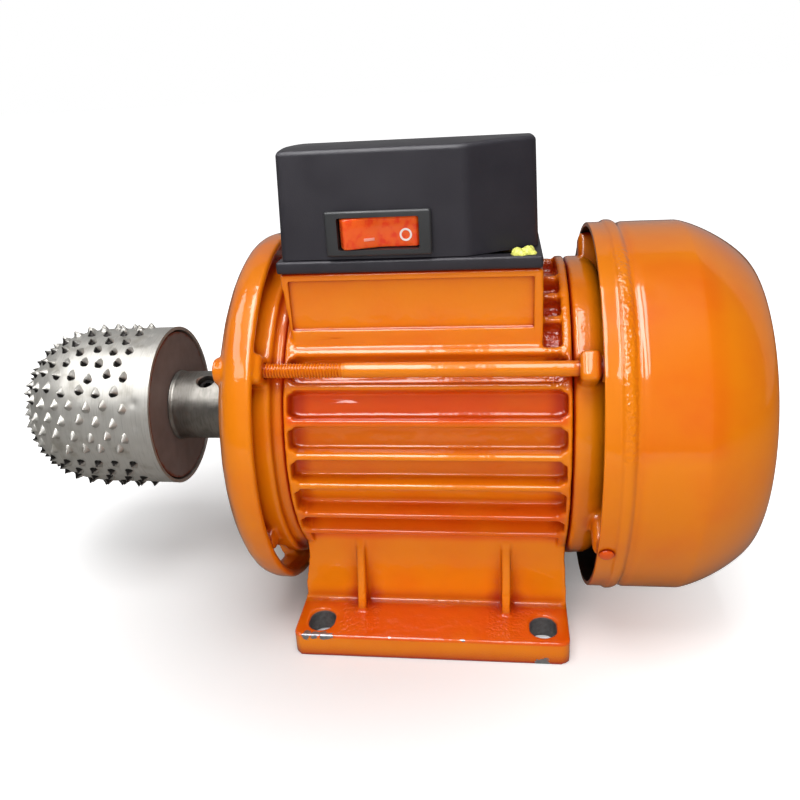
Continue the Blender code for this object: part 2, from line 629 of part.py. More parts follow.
def dome_point(fraction, radius, apex):
    """A point of the blunt dome, from its start at 0 to its apex at 1."""
    turn = math.pi / 2 * fraction
    power = 2 / DOME_POWER
    return (DOME_START + (apex - DOME_START) * math.sin(turn) ** power,
            radius * max(0.0, math.cos(turn)) ** power)


def dome_stations(radius, apex, pitch):
    """Points of the dome, spaced evenly along its curve."""
    fine = [dome_point(i / 200, radius, apex) for i in range(201)]
    stations, run = [fine[0]], 0.0
    total = sum(math.dist(a, b) for a, b in zip(fine, fine[1:]))
    count = round(total / pitch)
    for a, b in zip(fine, fine[1:]):
        run += math.dist(a, b)
        if run >= total / count * len(stations) and len(stations) < count:
            stations.append(b)
    return stations


def make_grater_shell():
    outside = [(HEAD_REAR, HEAD_REAR_R)]
    rings = round((TEETH_START - DOME_START) / TOOTH_PITCH)
    for i in range(rings):
        outside.append((TEETH_START + (DOME_START - TEETH_START) * i / rings, HEAD_R))
    outside += dome_stations(HEAD_R, DOME_APEX, TOOTH_PITCH)
    outside = [point for point in outside if point[1] > 2.5] + [(DOME_APEX, 1.8), (HEAD_TIP, 0.0)]
    inside = [(HEAD_REAR, HEAD_R - HEAD_WALL)]
    inside += dome_stations(HEAD_R - HEAD_WALL, DOME_APEX + HEAD_WALL, 9.0) + [(DOME_APEX + HEAD_WALL, 0.0)]
    shape = bmesh.new()
    points = [shape.verts.new((radius * MM, 0.0, along * MM)) for along, radius in outside[::-1] + inside]
    edges = [shape.edges.new(pair) for pair in zip(points, points[1:])]
    bmesh.ops.spin(shape, geom=points + edges, cent=(0, 0, 0), axis=(0, 0, 1), angle=math.tau,
                   steps=HEAD_COLUMNS, use_merge=False)
    bmesh.ops.remove_doubles(shape, verts=shape.verts, dist=1e-6)
    bmesh.ops.recalc_face_normals(shape, faces=shape.faces)
    raise_teeth(shape, outside)
    mesh = bpy.data.meshes.new("grater_shell")
    shape.to_mesh(mesh)
    shape.free()
    shell = add_object("grater_shell", mesh, "head_steel")
    shell.location = place(0, 0, 0)
    shell.rotation_euler = ALONG_SHAFT


def raise_teeth(shape, outside):
    """Inset every second face of the outer surface and draw its middle out to a point."""
    chosen = []
    for face in shape.faces:
        centre = face.calc_center_median() / MM
        radius = math.hypot(centre.x, centre.y)
        outward = centre.x * face.normal.x + centre.y * face.normal.y - 30 * face.normal.z
        if outward <= 0 or centre.z > TEETH_START or radius < 5.0 or len(face.verts) != 4:
            continue
        ring = sum(1 for along, r in outside if along > centre.z)
        column = int(math.degrees(math.atan2(centre.y, centre.x)) % 360 / (360 / HEAD_COLUMNS))
        stride = 2 if radius > 15 else 4
        if (column + ring % 2 * (stride // 2)) % stride == 0:
            chosen.append(face)
    for face in chosen:
        width = min(edge.calc_length() for edge in face.edges)
        bmesh.ops.inset_individual(shape, faces=[face], thickness=min(1.3 * MM, width * 0.28))
    bmesh.ops.poke(shape, faces=chosen, offset=TOOTH_HEIGHT * MM, center_mode="MEAN")


def make_head_mounting():
    disc = [(HEAD_REAR - 3.4, 10.1), (HEAD_REAR - 3.4, HEAD_R - HEAD_WALL - GAP),
            (HEAD_REAR - 0.4, HEAD_R - HEAD_WALL - GAP), (HEAD_REAR - 0.4, 10.1)]
    turned("grater_backplate", disc, "disc_iron", steps=32)
    bore = SHAFT_R + GAP
    hub = [(HUB_MOTOR_END, bore), (HUB_MOTOR_END, HUB_R - 0.5), (HUB_MOTOR_END - 0.5, HUB_R),
           (HEAD_REAR, HUB_R), (HEAD_REAR, 9.8), (-112.0, 9.8), (-112.0, 4.0), (-102.2, 4.0),
           (-102.2, bore)]
    grater_hub = turned("grater_hub", hub, "hub_steel", steps=28)
    cut(grater_hub, cylinder("set_screw_hole", (SET_SCREW_X, *round_shaft(SET_SCREW_ANGLE, 4.0)),
                             (SET_SCREW_X, *round_shaft(SET_SCREW_ANGLE, 20.0)), 3.3, sides=16))
    screw = cylinder("hub_set_screw", (SET_SCREW_X, *round_shaft(SET_SCREW_ANGLE, SHAFT_R + GAP)),
                     (SET_SCREW_X, *round_shaft(SET_SCREW_ANGLE, 12.2)), 3.0, "bright_steel", sides=16)
    cut(screw, cylinder("hex_socket", (SET_SCREW_X, *round_shaft(SET_SCREW_ANGLE, 9.4)),
                        (SET_SCREW_X, *round_shaft(SET_SCREW_ANGLE, 15.0)), 1.7, sides=6))


# ---------------------------------------------------------------- switch box

def box_outline(inset):
    """The cover seen from above: a rectangle with both of its fan-side corners cut off."""
    front, rear, half = BOX_FRONT + inset, BOX_REAR - inset, BOX_HALF_Y - inset
    start, depth = CHAMFER_START - inset * 0.3, CHAMFER_DEPTH
    corner = 2.0
    return [(front + corner, -half), (start, -half), (rear, -half + depth), (rear, half - depth),
            (start, half), (front + corner, half), (front, half - corner), (front, -half + corner)]


def lid_height(y):
    """The lid's crown: highest near its front edge, then falling gently to the back."""
    behind = y - LID_CREST_Y
    if behind < 0:
        return LID_CREST - LID_FRONT_CURVE * behind ** 2
    return LID_CREST - LID_BACK_CURVE * behind ** 2 - LID_FALL * behind


def box_solid(name, inset, bottom, drop, material=None):
    """The cover's outer or inner form: drafted walls up to a crowned lid with a rolled edge."""
    shape = bmesh.new()
    lean = BOX_DRAFT * (LID_CREST - BOX_BOTTOM)
    rings = [[shape.verts.new((along * MM, y * MM, bottom * MM)) for along, y in box_outline(inset)]]
    for step_in, below in LID_EDGE:
        rings.append([shape.verts.new((along * MM, y * MM, (lid_height(y) - drop - below) * MM))
                      for along, y in box_outline(inset + lean + step_in)])
    for lower, upper in zip(rings, rings[1:]):
        for i in range(len(lower)):
            j = (i + 1) % len(lower)
            shape.faces.new((lower[i], lower[j], upper[j], upper[i]))
    shape.faces.new(list(reversed(rings[0])))
    shape.faces.new(rings[-1])
    bmesh.ops.triangulate(shape, faces=shape.faces)
    bmesh.ops.recalc_face_normals(shape, faces=shape.faces)
    mesh = bpy.data.meshes.new(name)
    shape.to_mesh(mesh)
    shape.free()
    obj = add_object(name, mesh, material)
    obj.location = place(0, 0, 0)
    return obj


def make_switch_box():
    tray = block("switch_box_tray", (TRAY_FRONT, -TRAY_HALF_Y, TRAY_BOTTOM),
                 (TRAY_REAR, TRAY_HALF_Y, TRAY_TOP), "black_plastic", bevel=0.5, segments=1)
    cut(tray, block("tray_pocket", (BOX_FRONT + 3, -BOX_HALF_Y + 3, TRAY_BOTTOM + 2.2),
                    (BOX_REAR - 3, BOX_HALF_Y - 3, TRAY_TOP + 5)))
    cut(tray, cylinder("tray_wire_hole", (-33, 0, 60), (-33, 0, 70), 6.0, sides=16))
    cover = box_solid("switch_box_cover", 0.0, BOX_BOTTOM, 0.0, "black_plastic")
    cut(cover, box_solid("box_hollow", BOX_WALL, BOX_BOTTOM - 5, BOX_WALL))
    cut(cover, block("switch_window", (SWITCH_X - 14.6, -BOX_HALF_Y - 4, SWITCH_Z - 5.9),
                     (SWITCH_X + 14.6, -BOX_HALF_Y + 5, SWITCH_Z + 5.9)))
    cut(tray, cylinder("earth_hole", (*EARTH_SCREW_PLACE, 60), (*EARTH_SCREW_PLACE, 70), 1.9, sides=12))
    for number, (x, _) in enumerate(TRAY_SCREW_PLACES, 1):
        cut(tray, cylinder(f"tray_hole_{number}", (x, 0, 60), (x, 0, 70), 1.8, sides=12))
        screw = cylinder(f"tray_screw_{number}", (x, 0, 52.0), (x, 0, 66.5), 1.5, "bright_steel", sides=12)
        join(screw, cylinder(f"tray_screw_head_{number}", (x, 0, TRAY_BOTTOM + 2.2 + GAP),
                             (x, 0, 67.6), 3.2, sides=14))
    for number, (x, y) in enumerate(COVER_SCREW_PLACES, 1):
        make_box_cover_screw(number, x, y, cover, tray)


def make_box_cover_screw(number, x, y, cover, tray):
    """A long screw from a recess in the lid, down a hollow post, into a boss of the tray."""
    lid = lid_height(y)
    join(cover, cylinder(f"cover_post_{number}", (x, y, TRAY_TOP + 6), (x, y, lid - 1.5), 4.2,
                         sides=14))
    cut(cover, cylinder(f"cover_bore_{number}", (x, y, 60), (x, y, lid + 5), 1.9, sides=12),
        cylinder(f"cover_recess_{number}", (x, y, lid - 5.0), (x, y, lid + 5), 3.2, sides=14))
    join(tray, cylinder(f"tray_boss_{number}", (x, y, TRAY_BOTTOM + 1), (x, y, TRAY_TOP + 5.6), 4.2,
                        sides=14))
    cut(tray, cylinder(f"boss_tap_{number}", (x, y, TRAY_BOTTOM + 2), (x, y, TRAY_TOP + 9), 1.9,
                       sides=12))
    screw = cylinder(f"box_cover_screw_{number}", (x, y, TRAY_TOP - 1), (x, y, lid - 4), 1.5,
                     "bright_steel", sides=12)
    join(screw, cylinder(f"cover_screw_top_{number}", (x, y, lid - 5 + GAP), (x, y, lid - 2.9), 2.9,
                         sides=14))


def make_switch():
    """Bezel and body in one moulding, with a pocket that the rocker tilts in."""
    face = -BOX_HALF_Y
    left, right = SWITCH_X - BEZEL_HALF_X, SWITCH_X + BEZEL_HALF_X
    housing = block("switch_housing", (left, face - GAP - BEZEL_PROUD, SWITCH_Z - BEZEL_HALF_Z),
                    (right, face - GAP, SWITCH_Z + BEZEL_HALF_Z), "black_plastic")
    body = block("switch_body", (SWITCH_X - 14.2, face - 1.5, SWITCH_Z - 5.6),
                 (SWITCH_X + 14.2, face + 21, SWITCH_Z + 5.6))
    pocket = block("rocker_pocket", (SWITCH_X - 12.8, face - 6, SWITCH_Z - 5.0),
                   (SWITCH_X + 12.8, face + 12.5, SWITCH_Z + 5.0))
    join(housing, body)
    cut(housing, pocket)
    for number, x in enumerate((-8.0, 8.0), 1):
        cut(housing, block(f"terminal_slot_{number}", (SWITCH_X + x - 0.8, face + 14, SWITCH_Z - 2.8),
                           (SWITCH_X + x + 0.8, face + 24, SWITCH_Z + 2.8)))
        block(f"switch_terminal_{number}", (SWITCH_X + x - 0.4, face + 14.5, SWITCH_Z - 2.4),
              (SWITCH_X + x + 0.4, face + 28, SWITCH_Z + 2.4), "brass_terminal")
    make_rocker()


def make_rocker():
    """A shallow V seen from above. Its fan-side end is pressed in at rest."""
    half = ROCKER_HALF_X
    outline = [(half, 4.5), (4.0, 6.6), (-4.0, 6.6), (-half, 4.5), (-half - 1.1, 1.0), (-half - 0.9, -2.8),
               (-half, -5.2), (-half + 0.7, -5.5), (0.0, -3.3), (half - 0.7, -5.5), (half, -5.2),
               (half + 0.9, -2.8), (half + 1.1, 1.0)]
    turn = Matrix.Rotation(math.radians(ROCKER_TILT), 2)
    outline = [tuple(turn @ Vector(point)) for point in outline]
    mesh = mesh_from_outlines("switch_rocker", [outline], ROCKER_HALF_Z)
    rocker = add_object("switch_rocker", mesh, "rocker_red")
    rocker.location = place(SWITCH_X, PIVOT_Y, SWITCH_Z)


def make_box_contents():
    floor = TRAY_BOTTOM + 2.2 + GAP
    cylinder("run_capacitor", (-32.0, 14.0, 81.0), (22.0, 14.0, 81.0), 11.5, "capacitor_can", sides=24)
    clamp = cylinder("capacitor_clamp", (-9.0, 14.0, 81.0), (-1.0, 14.0, 81.0), 13.0, "bright_steel",
                     sides=24)
    join(clamp, block("clamp_leg", (-8.8, 26.2, floor + 0.3), (-1.2, 27.7, 81.5)),
         block("clamp_foot", (-8.6, 26.5, floor), (-1.4, 35.0, floor + 1.3)))
    cut(clamp, cylinder("clamp_bore", (-12.0, 14.0, 81.0), (2.0, 14.0, 81.0), 11.8, sides=24))
    terminal = block("terminal_block", (2.0, -16.0, floor), (30.0, -6.0, floor + 10), "capacitor_can",
                     bevel=0.5, segments=1)
    for number, x in enumerate((7.0, 16.0, 25.0), 1):
        cut(terminal, cylinder(f"terminal_hole_{number}", (x, -11, floor + 4), (x, -11, floor + 14), 2.3,
                               sides=12))
        cylinder(f"terminal_screw_{number}", (x, -11, floor + 4 + GAP), (x, -11, floor + 8.5), 2.0,
                 "brass_terminal", sides=12)
    earth = cylinder("earth_screw", (*EARTH_SCREW_PLACE, 50.0), (*EARTH_SCREW_PLACE, floor + 2.0), 1.6,
                     "brass_terminal", sides=12)
    join(earth, cylinder("earth_head", (*EARTH_SCREW_PLACE, floor),
                         (*EARTH_SCREW_PLACE, floor + 2.4), 3.4, sides=14))


def make_gland():
    """A cable entry in the hidden wall of the neck, open from end to end."""
    outward = (math.pi / 2, 0.0, math.pi)
    at = (0.0, NECK_HALF_Y, GLAND_Z)
    body = [(-6.6, 4.9), (-6.6, 6.0), (GAP, 6.0), (GAP, 9.0), (5.0, 9.0), (5.0, 6.0), (12.0, 6.0),
            (12.0, 4.9)]
    turned("gland_body", body, "black_plastic", steps=14, at=at, turn=outward)
    cap = [(5.3, 6.3), (5.3, 8.6), (14.0, 8.6), (17.0, 6.6), (17.0, 4.2), (15.2, 4.2), (12.6, 6.3)]
    turned("gland_cap", cap, "black_plastic", steps=14, at=at, turn=outward)
    seal = [(1.5, 3.6), (1.5, 4.6), (11.8, 4.6), (11.8, 3.6)]
    turned("gland_seal", seal, "seal_rubber", steps=14, at=at, turn=outward)
    nut_start, nut_end = -NECK_WALL - GAP - 1.9, -NECK_WALL - GAP
    nut = [(nut_start, 6.3), (nut_start, 8.6), (nut_end, 8.6), (nut_end, 6.3)]
    turned("gland_locknut", nut, "black_plastic", steps=14, at=at, turn=outward)


def make_sealant():
    """A small dab on the tray's ledge, in the corner that the cover cuts off."""
    outline = [(29.2, -40.3), (36.4, -38.8), (36.2, -32.0), (33.5, -35.0)]
    upright_prism("corner_sealant", [outline], TRAY_TOP + GAP, TRAY_TOP + GAP + 1.6, "sealant_yellow")


clear_scene()
pieces = new_collection("coconut_grater")
tools = new_collection("boolean_tools")
materials = {name: make_material(name) for name in MATERIALS}

make_motor_frame()
make_front_shield()
make_rear_shield()
make_tie_bolts()
make_fan_cover()
make_stator()
make_rotor()
make_bearing("front", FRONT_BEARING)
make_bearing("rear", REAR_BEARING)
make_small_rings()
make_cooling_fan()
make_grater_shell()
make_head_mounting()
make_switch_box()
make_switch()
make_box_contents()
make_gland()
make_sealant()

ROTOR_NAMES = ("rotor_shaft", "rotor_core", "cooling_fan", "fan_circlip", "front_bearing_inner_race",
               "rear_bearing_inner_race", "grater_hub", "grater_backplate", "grater_shell",
               "hub_set_screw")
carry("rotor_axis", place(0, 0, 0), *[bpy.data.objects[name] for name in ROTOR_NAMES])
carry("front_cage_axis", place(FRONT_BEARING, 0, 0), bpy.data.objects["front_ball_cage"])
carry("rear_cage_axis", place(REAR_BEARING, 0, 0), bpy.data.objects["rear_ball_cage"])
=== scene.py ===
"""The looks of the electric coconut grater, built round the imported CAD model.

Lengths are in millimetres in the shaft's own measures, as in the part's source: "along" counts
from the middle of the feet towards the fan cover, heights count from the shaft's axis, and angles
round the shaft count from the near side upwards. place() turns them into world metres.
"""

import math
import random

import bmesh
import bpy
import numpy as np
from mathutils import Matrix, Vector, noise


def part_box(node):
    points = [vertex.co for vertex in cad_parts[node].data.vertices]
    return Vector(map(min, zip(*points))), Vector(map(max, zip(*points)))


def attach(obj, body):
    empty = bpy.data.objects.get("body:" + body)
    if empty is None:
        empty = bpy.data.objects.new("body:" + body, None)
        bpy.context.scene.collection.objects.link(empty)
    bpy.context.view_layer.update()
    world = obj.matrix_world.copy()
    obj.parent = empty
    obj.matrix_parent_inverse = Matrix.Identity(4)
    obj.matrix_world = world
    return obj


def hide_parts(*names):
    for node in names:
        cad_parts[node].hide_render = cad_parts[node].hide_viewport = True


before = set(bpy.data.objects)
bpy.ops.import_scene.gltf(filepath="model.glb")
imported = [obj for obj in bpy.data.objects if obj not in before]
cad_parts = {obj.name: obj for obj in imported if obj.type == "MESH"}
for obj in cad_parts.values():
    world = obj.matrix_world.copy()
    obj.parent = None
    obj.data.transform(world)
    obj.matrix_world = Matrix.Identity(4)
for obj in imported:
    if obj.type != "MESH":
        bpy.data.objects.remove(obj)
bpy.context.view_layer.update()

MM = 0.001
GAP = 0.3

feet_low, feet_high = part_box("motor_frame")
shaft_low, shaft_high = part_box("rotor_shaft")
MIDDLE_X = (feet_low.x + feet_high.x) / 2
AXIS_Z = (shaft_low.z + shaft_high.z) / 2
SHAFT_HEIGHT = AXIS_Z / MM

# Camera
CAMERA_PLACE = (26.0, -280.6, 122.6)
CAMERA_YAW, CAMERA_PITCH, CAMERA_ROLL = 8.149, -23.105, -3.407
CAMERA_LENS = 35.12

# Motor, in step with the CAD model
FRAME_FRONT, FRAME_REAR, BARREL_R, FIN_R = -46.0, 48.0, 50.0, 56.0
FOOT_THICK, SLOT_X, SLOT_Y = 9.1, 40.0, 54.4
FIN_ANGLES = (41.4, 29.5, 17.0, 5.0, -6.7, -20.7, -32.0)
BOLT_ANGLES, BOLT_CIRCLE_R, BOLT_R = (34.0, 146.0, 270.0), 60.0, 2.5
COVER_SCREW_ANGLES, COVER_SCREW_X = (-22.0, 118.0, 218.0), 59.1
COVER_FRONT, COVER_R, COVER_WALL, COVER_BACK = 56.3, 67.9, 1.4, 110.2
SHOULDER_START, COVER_BACK_R, SHOULDER_POWER = 87.0, 53.9, 1.32
GRILLE_SLOTS, GRILLE_INNER_R, GRILLE_OUTER_R, GRILLE_WIDTH = 16, 18.0, 48.0, 4.4

# Grating head
HEAD_REAR, HEAD_REAR_R, HEAD_R, HEAD_WALL = -104.4, 31.9, 31.4, 1.3
DOME_START, DOME_APEX, DOME_POWER = -130.0, -164.4, 2.4
TEETH_START, TOOTH_PITCH, TOOTH_SPACING, TOOTH_HEIGHT = -112.6, 3.5, 11.6, 2.35
HUB_R, HUB_MOTOR_END = 13.7, -80.0
SET_SCREW_X, SET_SCREW_ANGLE = -90.6, 67.0

# Switch box
TRAY_FRONT, TRAY_REAR, TRAY_HALF_Y, TRAY_BOTTOM, TRAY_TOP = -45.9, 38.6, 41.2, 63.2, 67.2
BOX_FRONT, BOX_REAR, BOX_HALF_Y, BOX_WALL = -44.2, 37.6, 40.0, 2.2
BOX_DRAFT, BOX_BOTTOM, EDGE_ROLL = 0.035, 67.5, 1.5
CHAMFER_START, CHAMFER_DEPTH = 15.5, 12.0
LID_CREST, LID_CREST_Y, LID_FRONT_CURVE, LID_BACK_CURVE, LID_FALL = 101.2, -29.0, 0.006, 0.0009, 0.028
COVER_SCREW_PLACES = ((-34.5, 31.0), (28.5, 19.0))
# Each hole's place and radius: the wires', two screws' and the earth screw's
TRAY_HOLES = (((-33.0, 0.0), 6.0), ((-22.0, 0.0), 1.8), ((18.0, 0.0), 1.8), ((28.0, -25.0), 1.9))
SWITCH_X, SWITCH_Z, PIVOT_Y = -12.0, 75.7, -36.5
ROCKER_HALF_X, ROCKER_HALF_Z, ROCKER_TILT = 11.7, 4.7, 10.0
VALLEY_Y, LIP_Y, LIP_INSET = -3.3, -5.5, 0.7
RING_X, RING_Z, DASH_X, DASH_Z = 7.7, -1.0, -3.7, -2.0
NECK_HALF_Y, NECK_TOP, GLAND_Z, FAN_BLADES = 40.0, 62.9, 53.0, 8

# Room: the floor fades to white between two distances in metres, and the bright sweep behind fills
# the directions lower than this slope times their reach to the back
FLOOR_FADE = (0.03, 0.24)
SWEEP_SLOPE, SWEEP_LEVEL, ROOM_LEVEL, SWEEP_EDGE = 1.43, 0.30, 0.06, 0.06


# ---------------------------------------------------------------- places and shapes

def place(along, y, height):
    return Vector((MIDDLE_X + along * MM, y * MM, AXIS_Z + height * MM))


def round_shaft(along, angle, radius):
    """The shaft measures of a point at an angle round the shaft and a distance from it."""
    turn = math.radians(angle)
    return along, -radius * math.cos(turn), radius * math.sin(turn)


def axis_at(origin, direction):
    """A matrix that lays a local X axis along a direction, from an origin in world metres."""
    turn = Vector(direction).to_track_quat("X", "Z").to_matrix().to_4x4()
    return Matrix.Translation(origin) @ turn


SHAFT = Matrix.Translation(place(0, 0, 0))
CENTRE = np.array(place(0, 0, 0))


def about_shaft(angle):
    """A turn in degrees about the shaft's axis."""
    return SHAFT @ Matrix.Rotation(math.radians(angle), 4, "X") @ SHAFT.inverted()


def rounded(points, radius, steps=4, closed=True):
    """Round the corners of an outline; a short side takes a smaller round."""
    result = []
    count = len(points)
    for i, point in enumerate(points):
        if not closed and i in (0, count - 1):
            result.append(tuple(point))
            continue
        here = Vector(point)
        before, after = Vector(points[i - 1]) - here, Vector(points[(i + 1) % count]) - here
        reach = min(radius, before.length * 0.45, after.length * 0.45)
        start, end = here + before.normalized() * reach, here + after.normalized() * reach
        for k in range(steps + 1):
            t = k / steps
            result.append(tuple(start * (1 - t) ** 2 + here * (2 * t * (1 - t)) + end * t ** 2))
    return result


def spaced(points, step, closed=True):
    """Add points so that no stretch of the outline is longer than a step."""
    result = []
    for a, b in pairs_of(points, closed):
        parts = max(1, math.ceil(math.dist(a, b) / step))
        result += [tuple(p + (q - p) * k / parts for p, q in zip(a, b)) for k in range(parts)]
    return result if closed else result + [points[-1]]


def pairs_of(items, closed):
    """Neighbours in a row, with its last item next to its first one when it is closed."""
    return list(zip(items, items[1:] + items[:1] if closed else items[1:]))


def skin_rings(shape, rings, closed=False):
    """Join each ring of vertices to the next with faces; a ring of one repeated vertex is a pole."""
    for one, two in pairs_of(rings, closed):
        for k in range(len(one)):
            j = (k + 1) % len(one)
            corners = list(dict.fromkeys((one[k], one[j], two[j], two[k])))
            if len(corners) > 2:
                shape.faces.new(corners)


def turned(shape, profile, segments, closed=False, pole=1e-6):
    """Turn (along, radius) points round a local X axis; those nearer to it than the pole meet on it."""
    rings = []
    for along, radius in profile:
        if radius < pole:
            rings.append([shape.verts.new((along * MM, 0.0, 0.0))] * segments)
            continue
        points = [Vector(round_shaft(along, 360 * k / segments, radius)) for k in range(segments)]
        rings.append([shape.verts.new(point * MM) for point in points])
    skin_rings(shape, rings, closed)


def revolved(name, profile, segments=96, matrix=SHAFT, closed=True):
    shape = bmesh.new()
    turned(shape, profile, segments, closed)
    return as_object(name, shape, matrix, face_out=True)


def turned_part(name, outline, round_by, corner_steps, longest, segments, matrix=SHAFT):
    """A turned part from the outline of its section, its corners rounded and its long sides divided."""
    section = spaced(rounded(outline, round_by, corner_steps), longest)
    return revolved(name, section, segments, matrix)


def as_object(name, shape, matrix=None, face_out=False):
    """Close a bmesh into a new object whose mesh is in world metres."""
    if face_out:
        bmesh.ops.recalc_face_normals(shape, faces=shape.faces)
    if matrix is not None:
        shape.transform(matrix)
    mesh = bpy.data.meshes.new(name)
    shape.to_mesh(mesh)
    shape.free()
    obj = bpy.data.objects.new(name, mesh)
    bpy.context.scene.collection.objects.link(obj)
    return obj


def lofted(name, loops, matrix=None):
    """Skin and cap a list of loops with equal numbers of points."""
    shape = bmesh.new()
    rings = [[shape.verts.new(point) for point in loop] for loop in loops]
    skin_rings(shape, rings)
    shape.faces.new(rings[0])
    shape.faces.new(rings[-1])
    return as_object(name, shape, matrix, face_out=True)


def round_edges(shape, round_by, segments):
    bmesh.ops.bevel(shape, geom=shape.edges[:], offset=round_by * MM, segments=segments,
                    profile=0.5, affect="EDGES")


def block(name, size, matrix, round_by=0.0, segments=3):
    """A block of a size in millimetres round the origin of a matrix, with rounded edges."""
    shape = bmesh.new()
    bmesh.ops.create_cube(shape, size=1.0)
    bmesh.ops.scale(shape, vec=[length * MM for length in size], verts=shape.verts)
    if round_by:
        round_edges(shape, round_by, segments)
    return as_object(name, shape, matrix)


def box(name, low, high, round_by=0.0, segments=3, turn=Matrix()):
    """A block between two corners in shaft measures, turned as a whole."""
    size = [b - a for a, b in zip(low, high)]
    middle = Matrix.Translation(place(*[(a + b) / 2 for a, b in zip(low, high)]))
    return block(name, size, turn @ middle, round_by, segments)


def bar(name, start, end, radius, segments=32, end_radius=None):
    first, last = place(*start), place(*end)
    length = (last - first).length / MM
    tip = radius if end_radius is None else end_radius
    profile = [(0.0, 0.0), (0.0, radius), (length, tip), (length, 0.0)]
    return revolved(name, profile, segments, axis_at(first, last - first), closed=False)


def shaft_bar(name, angle, from_axis, start, end, radius, segments=32):
    """A bar beside the shaft, parallel to it."""
    ends = [round_shaft(along, angle, from_axis) for along in (start, end)]
    return bar(name, *ends, radius, segments)


def spoke_bar(name, along, angle, inner, outer, radius, segments=32, end_radius=None):
    """A bar that points away from the shaft's axis."""
    ends = [round_shaft(along, angle, from_axis) for from_axis in (inner, outer)]
    return bar(name, *ends, radius, segments, end_radius)


def copy_of(node, name):
    """A free copy of a CAD node's mesh, to work on."""
    obj = bpy.data.objects.new(name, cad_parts[node].data.copy())
    obj.data.materials.clear()
    bpy.context.scene.collection.objects.link(obj)
    return obj


def apply_modifiers(obj):
    bpy.context.view_layer.update()
    old = obj.data
    mesh = bpy.data.meshes.new_from_object(obj.evaluated_get(bpy.context.evaluated_depsgraph_get()))
    obj.modifiers.clear()
    obj.data = mesh
    bpy.data.meshes.remove(old)


def combine(obj, operation, tools):
    """Apply an exact Boolean with each tool in turn, and remove the tools."""
    for tool in tools:
        modifier = obj.modifiers.new("Boolean", "BOOLEAN")
        modifier.operation = operation
        modifier.solver = "EXACT"
        modifier.object = tool
        apply_modifiers(obj)
        bpy.data.objects.remove(tool, do_unlink=True)


def carve(obj, *tools):
    combine(obj, "DIFFERENCE", tools)


def weld(obj, *tools):
    combine(obj, "UNION", tools)


def join_objects(name, objects):
    shape = bmesh.new()
    for obj in objects:
        shape.from_mesh(obj.data)
        bpy.data.objects.remove(obj, do_unlink=True)
    return as_object(name, shape)


def fused(name, parts, voxel, smooth=4, keep=0.4):
    """Melt overlapping parts into one skin with soft fillets, as cast and painted metal has."""
    obj = join_objects(name, parts)
    remesh = obj.modifiers.new("Skin", "REMESH")
    remesh.mode = "VOXEL"
    remesh.voxel_size = voxel * MM * 1.0
    remesh.use_smooth_shade = True
    softer = obj.modifiers.new("Soften", "SMOOTH")
    softer.factor = 0.5
    softer.iterations = smooth
    thin = obj.modifiers.new("Thin out", "DECIMATE")
    thin.ratio = keep
    apply_modifiers(obj)
    return obj


def read(items, key):
    """A measure of three numbers for each vertex or face, as rows of an array."""
    values = np.empty(len(items) * 3)
    items.foreach_get(key, values)
    return values.reshape(-1, 3)


def vertices_of(mesh):
    """Vertex places in shaft measures."""
    return (read(mesh.vertices, "co") - CENTRE) / MM


def put_vertices(mesh, co):
    mesh.vertices.foreach_set("co", (co * MM + CENTRE).ravel())
    mesh.update()


def polar(co):
    """Each vertex's distance from the shaft's axis and its turn round it, in radians."""
    return np.hypot(co[:, 1], co[:, 2]), np.arctan2(co[:, 2], -co[:, 1])


def push_outward(co, push):
    """Move vertices in shaft measures away from the shaft's axis."""
    radius = np.maximum(polar(co)[0], 1.0)
    co[:, 1:] += co[:, 1:] / radius[:, None] * push[:, None]


def lump(obj, height, size, seed=0.0, where=None):
    """Push the skin in and out a little, as thick brushed or dipped paint does."""
    mesh = obj.data
    co, normals = read(mesh.vertices, "co"), read(mesh.vertices, "normal")
    amount = np.array([noise.noise(Vector(p) / (size * MM) + Vector((seed, 0, 0))) for p in co])
    if where is not None:
        amount *= where(co)
    co += normals * (amount * height * MM)[:, None]
    mesh.vertices.foreach_set("co", co.ravel())
    mesh.update()


def finish_piece(obj, body, look, *replaces, sharp=None, inner_look=None):
    """Give a piece its material and body, and hide the CAD nodes it stands for."""
    obj.data.materials.clear()
    for name in (look, inner_look):
        if name:
            obj.data.materials.append(MATERIALS[name])
    obj.data.shade_smooth()
    if sharp is not None:
        obj.data.set_sharp_from_angle(angle=math.radians(sharp))
    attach(obj, body)
    if replaces:
        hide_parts(*replaces)


# ---------------------------------------------------------------- materials

MATERIALS = {}
PAINTED = "orange_enamel"

# The share of open sky where the painted corner shade is full and where it is gone on an open face, and how
# ragged a chip's edge is
DEEP_CORNER, OPEN_FACE, RAGGEDNESS = 0.45, 0.97, 2.6

# A Mix node's sockets for colours, which share their names with its sockets for numbers
MIX_AMOUNT, MIX_FIRST, MIX_SECOND, MIX_RESULT = 0, 6, 7, 2


